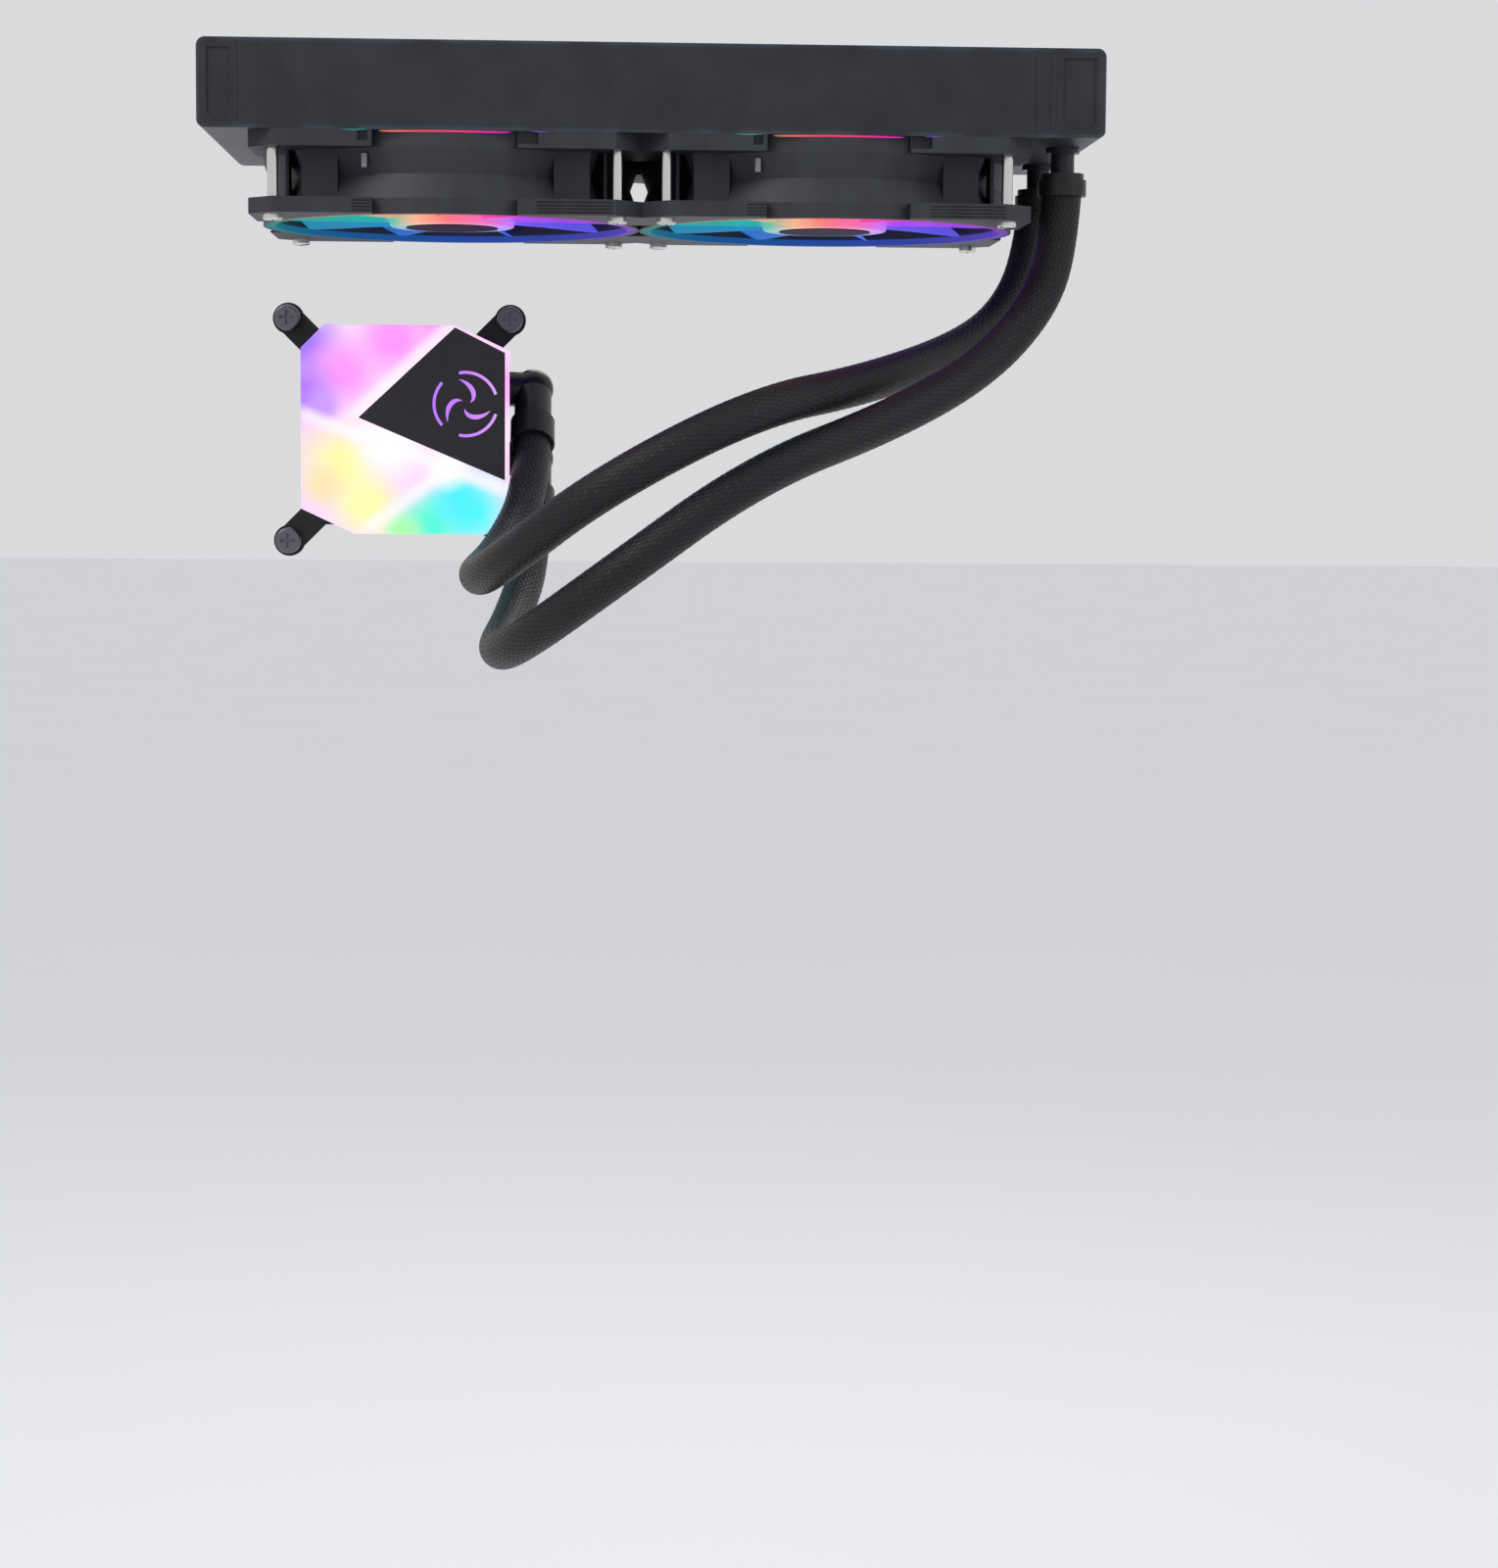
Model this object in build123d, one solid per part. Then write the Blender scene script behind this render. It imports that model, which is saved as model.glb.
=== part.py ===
from build123d import *
import math
import os

# A sealed liquid cooler: a radiator with two fans under it, two sleeved hoses and a pump block.
# Frame, in millimetres: the origin is the centre of the radiator's case-screw pattern, on its top face.
# +X runs along the radiator to the end with the hose ports, +Y to the pump block, +Z up.

# ---------------------------------------------------------------- driving dimensions
# Radiator
CORE_LEFT_X = -116.0
CORE_RIGHT_X = 120.0
TANK_LEFT_END_X = -135.0
TANK_RIGHT_END_X = 142.0
RADIATOR_WIDTH = 120.0
RADIATOR_HEIGHT = 27.0
TANK_WALL = 1.6
TANK_CORNER_R = 3.0
POCKET_DEPTH = 0.6
HEADER_THICK = 1.6
SIDE_PLATE_THICK = 1.2
SIDE_FLANGE_WIDTH = 12.6
SCREW_SPACING = 105.0
SCREW_HOLE_R = 1.75
FLAT_TUBE_COUNT = 11
FLAT_TUBE_PITCH = 8.6
FLAT_TUBE_THICK = 2.0
FLAT_TUBE_DEPTH = 20.0
FLAT_TUBE_REACH = 1.4
FIN_PITCH = 6.0
FIN_THICK = 0.25
FIN_DEPTH_TRIM = 1.0
TANK_DIVIDER = 1.6
POCKET_LOW_Z = -24.5
POCKET_HIGH_Z = -3.0
POCKET_CORNER_R = 3.0
POCKET_LEFT_X = (-131.5, -124.5)
POCKET_RIGHT_X = (128.5, 138.5)
PLUG_R = 4.0
PLUG_HEAD_R = 6.0
PLUG_HEAD = 1.5
PLUG_SLOT = 1.2
SLIP = 0.05

# Hose ports, hoses and elbows
PORT_X = 133.0
PORT_Y = 28.0
PORT_BORE_R = 2.4
PORT_NECK_R = 3.75
PORT_FLANGE_R = 6.8
PORT_FLANGE_TOP_Z = -35.0
PORT_END_Z = -37.0
HOSE_R = 6.4
FERRULE_R = 7.6
FERRULE_LENGTH = 5.0
ELBOW_R = 6.4
ELBOW_ARM = 20.9
ELBOW_NECK_R = 4.5
ELBOW_COLLAR_R = 6.0
ELBOW_GAP = 0.6
ELBOW_NECK_DEPTH = 9.0

# The hoses' routes, from the elbow end to the radiator port
HOSE_FAR_ROUTE = [
    (-35, 70, -116),
    (-35, 52, -136),
    (-45, 22, -156),
    (-53, -20, -164),
    (-43, -62, -158),
    (-12, -87, -134),
    (34, -82, -110),
    (70, -47, -102),
    (105, 0, -89),
    (122, 18, -76),
    (131, 26, -57),
    (133, 28, -37),
]
HOSE_NEAR_ROUTE = [
    (-35, 70, -140),
    (-35, 52, -160),
    (-41, 20, -178),
    (-46, -20, -187),
    (-38, -62, -183),
    (-10, -86, -162),
    (34, -80, -130),
    (78, -54, -113),
    (108, -38, -96),
    (126, -31, -76),
    (132, -28, -57),
    (133, -28, -37),
]
BEND_SHARE = 0.45

# Fans
FAN_SIZE = 120.0
FAN_DEPTH = 25.0
FAN_CORNER_CUT = 8.0
FAN_TOP_FLANGE = 5.0
FAN_BOTTOM_FLANGE = 4.8
FAN_BORE_R = 55.6
FAN_WALL_R = 60.0
FAN_WAIST_SHARE = 0.953
FAN_GAP_HALF = 22.0
FAN_CORNER_POST = [(36.7, 47.5), (44.8, 46.3), (46.3, 44.8), (47.5, 36.7), (39.5, 30.0), (30.0, 39.5)]
FAN_RIB_X = (48.3, 49.3)
FAN_RIB_Y = (33.0, 44.0)
FAN_NOTCH_X = (-26.3, -23.3)
FAN_NOTCH_HEIGHT = 3.2
FAN_NOTCH_DEPTH = 2.0
FAN_LIP = 1.2
FAN_LIP_END = 28.4
FAN_LIP_DEPTH = 3.0
FAN_HOLE_R = 2.2
FAN_STRUT_COUNT = 4
FAN_STRUT_WIDTH = 5.0
FAN_BASE_R = 20.5
FAN_BASE_THICK = 3.5
FAN_TUBE_R = 4.2
FAN_BEARING_R = 3.2
FAN_SHAFT_R = 1.5
FAN_GROOVES = 4
FAN_GROOVE_PITCH = 1.0
FAN_GROOVE_HEIGHT = 0.45
FAN_GROOVE_DEPTH = 0.4
FAN_GROOVE_SPANS = [(-28.0, -21.0), (28.0, 51.0)]
HUB_R = 20.0
HUB_WALL = 1.5
HUB_CAP = 1.6
BLADE_COUNT = 9
BLADE_TIP_R = 54.5
BLADE_MID_HEIGHT = 10.0
# Each station along a blade: radius, chord, thickness, pitch angle, and how far it is swept back
BLADE_STATIONS = [(15.0, 21.0, 2.6, 48.0, 0.0), (34.0, 28.0, 2.2, 36.0, 2.5), (57.0, 38.0, 1.8, 26.0, 8.0)]
HUB_DISC_R = 14.7
HUB_DISC_THICK = 0.3
MAGNET_DEPTH = 13.0
MAGNET_THICK = 1.55
FAN_BOARD_R = 17.0
FAN_BOARD_THICK = 1.4
STATOR_R = 16.2
STATOR_END = 1.5
STATOR_POLES = 4
POLE_WIDTH = 4.0
LIGHT_RING_IN_R = 56.3
LIGHT_RING_OUT_R = 59.3
LIGHT_RING_DEPTH = 2.0
FAN_SCREW_R = 1.7
FAN_THREAD_R = 1.5
FAN_SCREW_REACH = 5.0
FAN_SCREW_HEAD_R = 3.0
FAN_SCREW_HEAD = 2.0

# Pump block
BLOCK_X = -80.0
BLOCK_Z = -115.0
FACE_Y = 55.0
FACE_THICK = 3.0
FACE_LEFT_X = -113.2
FACE_RIGHT_X = -42.7
FACE_TOP_Z = -80.0
FACE_BOTTOM_Z = -150.6
FACE_SMALL_CUT = 8.0
FACE_LARGE_CUT_X = 18.0
FACE_LARGE_CUT_Z = 8.4
PANEL_THICK = 1.2
SHROUD_BACK_Y = 77.0
SHROUD_WALL = 2.0
SHROUD_INSET = 0.8
GLAND_HEIGHT = 0.7
GLAND_X = (-74.0, -64.0)
GLAND_Y = (66.0, 71.0)
MANIFOLD_BACK_Y = 103.0
MANIFOLD_LEFT_X = -113.0
MANIFOLD_RIGHT_X = -46.0
MANIFOLD_HALF_HEIGHT = 32.0
CAN_R = 14.6
CAN_WALL = 1.0
CAN_FRONT_Y = 67.0
CAN_BACK_Y = 84.0
DIVIDER_FRONT_Y = 91.5
DIVIDER_THICK = 2.0
DIVIDER_R = 20.0
WATER_CHAMBER_R = 23.0
PUMP_SHAFT_R = 1.5
COLD_PLATE_SIZE = 58.0
COLD_PLATE_FRONT_Y = 104.0
COLD_PLATE_BACK_Y = 108.0
PLATE_SCREW_R = 2.6
MICROFIN_COUNT = 20
MICROFIN_PITCH = 1.3
MICROFIN_THICK = 0.6
BRACKET_X = -82.4
BRACKET_Z = -114.7
BRACKET_FRONT_Y = 104.6
BRACKET_BACK_Y = 106.4
SOCKET_SPACING = 78.0
STUD_R = 1.9
STUD_END_Y = 118.0
CAPTIVE_HEAD_R = 4.5
CAPTIVE_HEAD_FRONT_Y = 98.0
CAPTIVE_HEAD = 3.0

# ---------------------------------------------------------------- values that follow
HALF_WIDTH = RADIATOR_WIDTH / 2
HALF_SCREWS = SCREW_SPACING / 2
FAN_X = {"a": -FAN_SIZE / 2, "b": FAN_SIZE / 2}
FAN_TOP_Z = -RADIATOR_HEIGHT
FAN_BOTTOM_Z = FAN_TOP_Z - FAN_DEPTH
FAN_BASE_Z = FAN_TOP_Z - 0.5 - FAN_BASE_THICK
CORNERS = [(-1, -1), (1, -1), (1, 1), (-1, 1)]
CORE_MID_Z = -RADIATOR_HEIGHT / 2


def block(x0, x1, y0, y1, z0, z1):
    """A box between two corners."""
    return Pos((x0 + x1) / 2, (y0 + y1) / 2, (z0 + z1) / 2) * Box(x1 - x0, y1 - y0, z1 - z0)


def rod_z(x, y, z0, z1, radius):
    """A cylinder along Z."""
    return Pos(x, y, (z0 + z1) / 2) * Cylinder(radius, z1 - z0)


def rod_y(x, z, y0, y1, radius):
    """A cylinder along Y."""
    return Pos(x, (y0 + y1) / 2, z) * Rot(90, 0, 0) * Cylinder(radius, y1 - y0)


def rod_x(y, z, x0, x1, radius):
    """A cylinder along X."""
    return Pos((x0 + x1) / 2, y, z) * Rot(0, 90, 0) * Cylinder(radius, x1 - x0)


def ring_z(x, y, z0, z1, outer, inner):
    """A ring along Z."""
    return rod_z(x, y, z0, z1, outer) - rod_z(x, y, z0 - 1, z1 + 1, inner)


def ring_y(x, z, y0, y1, outer, inner):
    """A ring along Y."""
    return rod_y(x, z, y0, y1, outer) - rod_y(x, z, y0 - 1, y1 + 1, inner)


def plate_y(points, y0, y1):
    """A flat plate with an outline in X and Z, from y0 to y1."""
    outline = make_face(Polyline(*points, close=True))
    return extrude(Plane.XZ.offset(-y1) * outline, amount=y1 - y0)


def turned(profile):
    """A solid turned about Z from an outline of radius and height."""
    return revolve(Plane.XZ * make_face(Polyline(*profile, close=True)), Axis.Z)


def joined(pieces):
    """The pieces fused into one solid."""
    first, *others = pieces
    return first.fuse(*others) if others else first


def save(shape, node):
    """Writes one node's STEP file."""
    shape.label = node
    export_step(shape, f"parts/{node}.step")


# ---------------------------------------------------------------- radiator
def tank_shell(x0, x1, open_side):
    """A tank's rounded shell, open towards the core on the side that open_side gives, -1 or 1."""
    shell = block(x0, x1, -HALF_WIDTH, HALF_WIDTH, -RADIATOR_HEIGHT, 0)
    end = Axis.X if open_side < 0 else Axis((0, 0, 0), (-1, 0, 0))
    shell = fillet(shell.faces().sort_by(end)[-1].edges(), TANK_CORNER_R)
    inner_low = x0 - 1 if open_side < 0 else x0 + TANK_WALL
    inner_high = x1 - TANK_WALL if open_side < 0 else x1 + 1
    inner_y = HALF_WIDTH - TANK_WALL - POCKET_DEPTH
    inner_z = TANK_WALL
    return shell - block(inner_low, inner_high, -inner_y, inner_y, -RADIATOR_HEIGHT + inner_z, -inner_z)


def tank_pocket(span, side):
    """The shallow pocket with round lower corners in a tank's long face."""
    y = side * HALF_WIDTH
    pocket = block(*span, y - POCKET_DEPTH, y + POCKET_DEPTH, POCKET_LOW_Z, POCKET_HIGH_Z)
    low_edges = pocket.edges().filter_by(Axis.Y).sort_by(Axis.Z)[:2]
    return fillet(low_edges, POCKET_CORNER_R)


def tank_left():
    """The end tank with the filling plug's hole."""
    tank = tank_shell(TANK_LEFT_END_X, CORE_LEFT_X, 1)
    for side in (-1, 1):
        tank -= tank_pocket(POCKET_LEFT_X, side)
    return tank - rod_x(0, CORE_MID_Z, TANK_LEFT_END_X - 1, TANK_LEFT_END_X + TANK_WALL + 1, PLUG_R)


def tank_right():
    """The tank with the two ports and the wall that parts the inflow from the outflow."""
    tank = tank_shell(CORE_RIGHT_X, TANK_RIGHT_END_X, -1)
    half = TANK_DIVIDER / 2
    tank += block(CORE_RIGHT_X + HEADER_THICK, TANK_RIGHT_END_X - 1, -half, half, -RADIATOR_HEIGHT + 1, -1)
    for side in (-1, 1):
        tank -= tank_pocket(POCKET_RIGHT_X, side)
        tank -= rod_z(PORT_X, side * PORT_Y, -RADIATOR_HEIGHT - 1, -RADIATOR_HEIGHT + 3, PORT_BORE_R)
    return tank


def flat_tube_rows():
    """The Y of each flat tube."""
    middle = (FLAT_TUBE_COUNT - 1) / 2
    return [(row - middle) * FLAT_TUBE_PITCH for row in range(FLAT_TUBE_COUNT)]


def flat_tube(y, grow=0.0):
    """One flat tube, a little fatter when grow is given."""
    section = SlotOverall(FLAT_TUBE_DEPTH + 2 * grow, FLAT_TUBE_THICK + 2 * grow, rotation=90)
    length = CORE_RIGHT_X - CORE_LEFT_X + 2 * FLAT_TUBE_REACH
    start = Plane(origin=(CORE_LEFT_X - FLAT_TUBE_REACH, y, CORE_MID_Z), x_dir=(0, 1, 0), z_dir=(1, 0, 0))
    return extrude(start * section, amount=length)


def header(x0):
    """A header plate with a slot for each flat tube."""
    inside_y = HALF_WIDTH - TANK_WALL - POCKET_DEPTH
    inside_z = TANK_WALL
    plate = block(x0, x0 + HEADER_THICK, -inside_y, inside_y, -RADIATOR_HEIGHT + inside_z, -inside_z)
    return plate.cut(*[flat_tube(y, SLIP) for y in flat_tube_rows()])


def hollow_tube(y):
    """A flat tube with its water channel."""
    return flat_tube(y) - flat_tube(y, -0.4)


def side_plate(side):
    """A channel along the core: case-screw holes in its top flange, fan-screw holes in the lower one."""
    y_out = side * HALF_WIDTH
    y_in = side * (HALF_WIDTH - SIDE_FLANGE_WIDTH)
    y_web = side * (HALF_WIDTH - SIDE_PLATE_THICK)
    x0, x1 = CORE_LEFT_X + SLIP, CORE_RIGHT_X - SLIP
    low, high = sorted((y_out, y_web))
    plate = block(x0, x1, low, high, -RADIATOR_HEIGHT, 0)
    low, high = sorted((y_out, y_in))
    plate += block(x0, x1, low, high, -SIDE_PLATE_THICK, 0)
    plate += block(x0, x1, low, high, -RADIATOR_HEIGHT, -RADIATOR_HEIGHT + SIDE_PLATE_THICK)
    for fan_x in FAN_X.values():
        for end in (-1, 1):
            x = fan_x + end * HALF_SCREWS
            plate -= rod_z(x, side * HALF_SCREWS, CORE_MID_Z, 1, SCREW_HOLE_R)
            plate -= rod_z(x, side * HALF_SCREWS, -RADIATOR_HEIGHT - 1, CORE_MID_Z, FAN_THREAD_R + SLIP)
    return plate


def fin_strip(y_low, y_high):
    """One folded fin strip between two flat tubes."""
    folds = int((CORE_RIGHT_X - CORE_LEFT_X - 2 * HEADER_THICK - 4) / FIN_PITCH)
    start = CORE_LEFT_X + HEADER_THICK + 2
    low, high = y_low + SLIP, y_high - SLIP - FIN_THICK
    crests = []
    for fold in range(folds + 1):
        crests.append((start + fold * FIN_PITCH, low))
        if fold < folds:
            crests.append((start + (fold + 0.5) * FIN_PITCH, high))
    upper = [(x, y + FIN_THICK) for x, y in reversed(crests)]
    depth = FLAT_TUBE_DEPTH - FIN_DEPTH_TRIM
    return Pos(0, 0, CORE_MID_Z - depth / 2) * extrude(make_face(Polyline(*crests, *upper, close=True)), amount=depth)


def fin_strips():
    rows = flat_tube_rows()
    half = FLAT_TUBE_THICK / 2
    return Compound([fin_strip(a + half, b - half) for a, b in zip(rows, rows[1:])])


def fill_plug():
    """The sealed filling plug in the left tank's end."""
    x = TANK_LEFT_END_X
    shank = rod_x(0, CORE_MID_Z, x, x + TANK_WALL + 2, PLUG_R - 2 * SLIP)
    head = rod_x(0, CORE_MID_Z, x - PLUG_HEAD, x, PLUG_HEAD_R)
    half = PLUG_SLOT / 2
    slot = block(x - PLUG_HEAD - 1, x - PLUG_HEAD / 2, -3.5, 3.5, CORE_MID_Z - half, CORE_MID_Z + half)
    return shank + head - slot


def port(side):
    """A hose port: neck, flange and bore."""
    y = side * PORT_Y
    neck = rod_z(PORT_X, y, PORT_FLANGE_TOP_Z, -RADIATOR_HEIGHT, PORT_NECK_R)
    foot = rod_z(PORT_X, y, -RADIATOR_HEIGHT - 1.6, -RADIATOR_HEIGHT, PORT_NECK_R + 1.6)
    flange = rod_z(PORT_X, y, PORT_END_Z, PORT_FLANGE_TOP_Z, PORT_FLANGE_R)
    bore = rod_z(PORT_X, y, PORT_END_Z - 1, 0, PORT_BORE_R)
    return neck + foot + flange - bore


def port_ferrule(side):
    """The crimped ferrule round a hose end under its port."""
    return ring_z(PORT_X, side * PORT_Y, PORT_END_Z - FERRULE_LENGTH, PORT_END_Z, FERRULE_R, HOSE_R)


# ---------------------------------------------------------------- hoses and elbows
def hose(route, name):
    """A hose as straight runs joined by tangent arcs."""
    points = [Vector(*point) for point in route]
    radii = []
    for before, corner, after in zip(points, points[1:], points[2:]):
        run_in, run_out = corner - before, after - corner
        turn = math.radians(run_in.get_angle(run_out))
        radii.append(BEND_SHARE * min(run_in.length, run_out.length) / math.tan(turn / 2))
    path = FilletPolyline(*points, radius=radii)
    section = Plane(origin=path @ 0, z_dir=path % 0) * Circle(HOSE_R)
    tube = sweep(section, path=path)
    ideal = math.pi * HOSE_R**2 * path.length
    print(name, "radii", [round(radius) for radius in radii])
    print(name, "length", round(path.length, 1), "volume share", round(tube.volume / ideal, 4))
    return tube


def elbow_centre(route):
    """The point where an elbow's two arms meet, and the direction of its hose arm."""
    start = Vector(*route[0])
    arm = (Vector(*route[1]) - start).normalized()
    return start - arm * ELBOW_ARM, arm


def elbow(route):
    """A swivel elbow: a neck along X into the block, and an arm to the hose."""
    centre, arm = elbow_centre(route)
    face_x = MANIFOLD_RIGHT_X + ELBOW_GAP
    knuckle = Pos(centre) * Sphere(ELBOW_R + 0.6)
    reach = ELBOW_ARM - 2 * SLIP
    hose_arm = extrude(Plane(origin=centre, z_dir=arm) * Circle(ELBOW_R), amount=reach)
    neck = rod_x(centre.Y, centre.Z, MANIFOLD_RIGHT_X - ELBOW_NECK_DEPTH, centre.X, ELBOW_NECK_R)
    collar = rod_x(centre.Y, centre.Z, face_x, centre.X, ELBOW_COLLAR_R)
    body = knuckle + hose_arm + neck + collar
    bore_in = rod_x(centre.Y, centre.Z, MANIFOLD_RIGHT_X - ELBOW_NECK_DEPTH - 1, centre.X, PORT_BORE_R)
    bore_out = extrude(Plane(origin=centre, z_dir=arm) * Circle(PORT_BORE_R), amount=ELBOW_ARM + 1)
    return body - bore_in - bore_out


def elbow_ferrule(route):
    """The crimped ferrule where a hose meets its elbow."""
    centre, arm = elbow_centre(route)
    start = Plane(origin=centre + arm * (ELBOW_ARM - FERRULE_LENGTH), z_dir=arm)
    inner = HOSE_R + 0.35
    ring = extrude(start * (Circle(FERRULE_R) - Circle(inner)), amount=2 * FERRULE_LENGTH)
    grip = extrude(start * (Circle(inner + 0.1) - Circle(ELBOW_R + SLIP / 2)), amount=FERRULE_LENGTH / 2)
    return ring + grip


# ---------------------------------------------------------------- fans
def quarters(piece):
    """Four copies of a piece, a quarter turn apart about the fan's axis."""
    return [Rot(0, 0, 90 * quarter) * piece for quarter in range(4)]


def fan_flange(z0, z1):
    """Four corner plates with their screw holes, joined by the wall's round rim."""
    half = FAN_SIZE / 2
    cut = half - FAN_CORNER_CUT
    outline = [(half, -cut), (half, cut), (cut, half), (-cut, half)]
    outline += [(-x, -y) for x, y in outline]
    flange = Pos(0, 0, z0) * extrude(make_face(Polyline(*outline, close=True)), amount=z1 - z0)
    gap = block(-FAN_GAP_HALF, FAN_GAP_HALF, half - FAN_CORNER_CUT, half + 1, z0 - 1, z1 + 1)
    flange = flange.cut(*quarters(gap)) + rod_z(0, 0, z0, z1, FAN_WALL_R)
    for across, along in CORNERS:
        flange -= rod_z(across * HALF_SCREWS, along * HALF_SCREWS, z0 - 1, z1 + 1, FAN_HOLE_R)
    return flange - rod_z(0, 0, z0 - 1, z1 + 1, FAN_BORE_R)


def corner_post(z0, z1):
    """A post beside a screw, waisted with the wall."""
    levels = [(z0, 1.0), ((z0 + z1) / 2, FAN_WAIST_SHARE), (z1, 1.0)]
    sections = []
    for z, share in levels:
        outline = [(x * share, y * share) for x, y in FAN_CORNER_POST]
        sections.append(Pos(0, 0, z) * make_face(Polyline(*outline, close=True)))
    return loft(sections, ruled=True)


def fan_wall():
    """The round waisted wall, with a post and two upright ribs near each corner."""
    z0, z1 = FAN_BOTTOM_Z + FAN_BOTTOM_FLANGE, FAN_TOP_Z - FAN_TOP_FLANGE
    waist = FAN_WALL_R * FAN_WAIST_SHARE
    profile = [(FAN_BORE_R, z0), (FAN_WALL_R, z0), (waist, (z0 + z1) / 2), (FAN_WALL_R, z1), (FAN_BORE_R, z1)]
    pieces = [turned(profile)]
    pieces += quarters(corner_post(z0, z1))
    pieces += quarters(block(*FAN_RIB_X, *FAN_RIB_Y, z0, z1))
    pieces += quarters(block(*FAN_RIB_Y, *FAN_RIB_X, z0, z1))
    return joined(pieces) - rod_z(0, 0, z0 - 1, z1 + 1, FAN_BORE_R)


def flange_grooves():
    """The fine grooves along the lower flange's sides."""
    half = FAN_SIZE / 2
    first_z = FAN_BOTTOM_Z + FAN_BOTTOM_FLANGE - 0.8
    grooves = []
    for index in range(FAN_GROOVES):
        z = first_z - index * FAN_GROOVE_PITCH
        for low, high in FAN_GROOVE_SPANS:
            grooves += quarters(block(low, high, -half - 1, FAN_GROOVE_DEPTH - half, z - FAN_GROOVE_HEIGHT, z))
    return grooves


def flange_lips():
    """The cuts over the thin lip that ends each upper corner plate."""
    half = FAN_SIZE / 2
    low_z = FAN_TOP_Z - FAN_TOP_FLANGE + FAN_LIP
    return quarters(block(FAN_GAP_HALF - 1, FAN_LIP_END, -half - 1, FAN_LIP_DEPTH - half, low_z, FAN_TOP_Z + 1))


def fan_spider():
    """The motor base, its bearing tube and the struts to the wall."""
    top = FAN_BASE_Z + FAN_BASE_THICK
    base = rod_z(0, 0, FAN_BASE_Z, top, FAN_BASE_R) + rod_z(0, 0, FAN_BOTTOM_Z + 6, top, FAN_TUBE_R)
    reach = FAN_BORE_R + 1
    for index in range(FAN_STRUT_COUNT):
        strut = block(FAN_BASE_R - 2, reach, -FAN_STRUT_WIDTH / 2, FAN_STRUT_WIDTH / 2, FAN_BASE_Z, top)
        base += Rot(0, 0, 22 + 360 / FAN_STRUT_COUNT * index) * strut
    return base - rod_z(0, 0, FAN_BOTTOM_Z + 5, top - 1, FAN_BEARING_R)


def fan_frame():
    """The whole frame: two flanges, the wall and the motor's seat."""
    bottom = fan_flange(FAN_BOTTOM_Z, FAN_BOTTOM_Z + FAN_BOTTOM_FLANGE)
    top = fan_flange(FAN_TOP_Z - FAN_TOP_FLANGE, FAN_TOP_Z)
    frame = joined([bottom, fan_wall(), top, fan_spider()])
    groove_top = FAN_BOTTOM_Z + LIGHT_RING_DEPTH
    frame -= ring_z(0, 0, FAN_BOTTOM_Z - 1, groove_top, LIGHT_RING_OUT_R + SLIP, FAN_BORE_R - 2)
    half = FAN_SIZE / 2
    notch = block(*FAN_NOTCH_X, -half - 1, FAN_NOTCH_DEPTH - half, FAN_TOP_Z - FAN_NOTCH_HEIGHT, FAN_TOP_Z + 1)
    return frame.cut(notch, *flange_lips(), *flange_grooves())


def light_ring():
    """The clear ring let into the lower flange."""
    top = FAN_BOTTOM_Z + LIGHT_RING_DEPTH - SLIP
    return ring_z(0, 0, FAN_BOTTOM_Z, top, LIGHT_RING_OUT_R, LIGHT_RING_IN_R)


def fan_blade():
    """One twisted, swept blade, long enough to reach into the hub."""
    middle = FAN_BOTTOM_Z + BLADE_MID_HEIGHT
    sections = []
    for radius, chord, thick, pitch, sweep_back in BLADE_STATIONS:
        plane = Plane(origin=(radius, sweep_back, middle), x_dir=(0, 1, 0), z_dir=(1, 0, 0))
        sections.append(plane * Ellipse(chord / 2, thick / 2, rotation=pitch))
    return loft(sections[::-1])


def fan_rotor():
    """The hub cup with its blades."""
    cap_z = FAN_BOTTOM_Z + 0.4
    rim_z = FAN_BASE_Z - 2.2
    blades = [Rot(0, 0, 360 / BLADE_COUNT * index) * fan_blade() for index in range(BLADE_COUNT)]
    span = ring_z(0, 0, cap_z, rim_z, BLADE_TIP_R, HUB_R - 1)
    hub = rod_z(0, 0, cap_z, rim_z, HUB_R) - rod_z(0, 0, cap_z + HUB_CAP, rim_z + 1, HUB_R - HUB_WALL)
    hub = fillet(hub.edges().sort_by(Axis.Z)[0], 1.0)
    return joined([hub] + [blade & span for blade in blades])


def fan_magnet():
    """The motor's ring magnet, inside the hub."""
    z0 = FAN_BOTTOM_Z + 4.0
    outer = HUB_R - HUB_WALL - SLIP
    return ring_z(0, 0, z0, z0 + MAGNET_DEPTH, outer, outer - MAGNET_THICK)


def fan_shaft():
    """The rotor's shaft, from the hub cap into the bearing."""
    return rod_z(0, 0, FAN_BOTTOM_Z + 0.4 + HUB_CAP, FAN_BASE_Z + 1.0, FAN_SHAFT_R)


def fan_bearing():
    """The plain bearing in the motor seat's tube."""
    z0 = FAN_BOTTOM_Z + 6.5
    return ring_z(0, 0, z0, FAN_BASE_Z, FAN_BEARING_R - SLIP, FAN_SHAFT_R + SLIP)


def stator(outer, inner, pole_count, pole_width, z0, z1):
    """A stator along Z: a core ring, poles with wide shoes, and a coil round each pole."""
    low, high = z0 + STATOR_END, z1 - STATOR_END
    core = ring_z(0, 0, low, high, inner + 2.5, inner)
    shoe = ring_z(0, 0, low, high, outer, outer - STATOR_END)
    gap_angle = 360 / pole_count
    pieces = [core]
    for index in range(pole_count):
        turn = Rot(0, 0, gap_angle * index)
        pole = block(inner + 1, outer - 0.6, -pole_width / 2, pole_width / 2, low, high)
        coil = block(inner + 3, outer - 2.0, -pole_width, pole_width, z0, z1)
        pieces += [turn * pole, turn * coil]
        opening = Rot(0, 0, gap_angle * (index + 0.5)) * block(inner + 4, outer + 1, -0.8, 0.8, z0, z1)
        shoe -= opening
    return joined(pieces + list(shoe.solids()))


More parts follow.
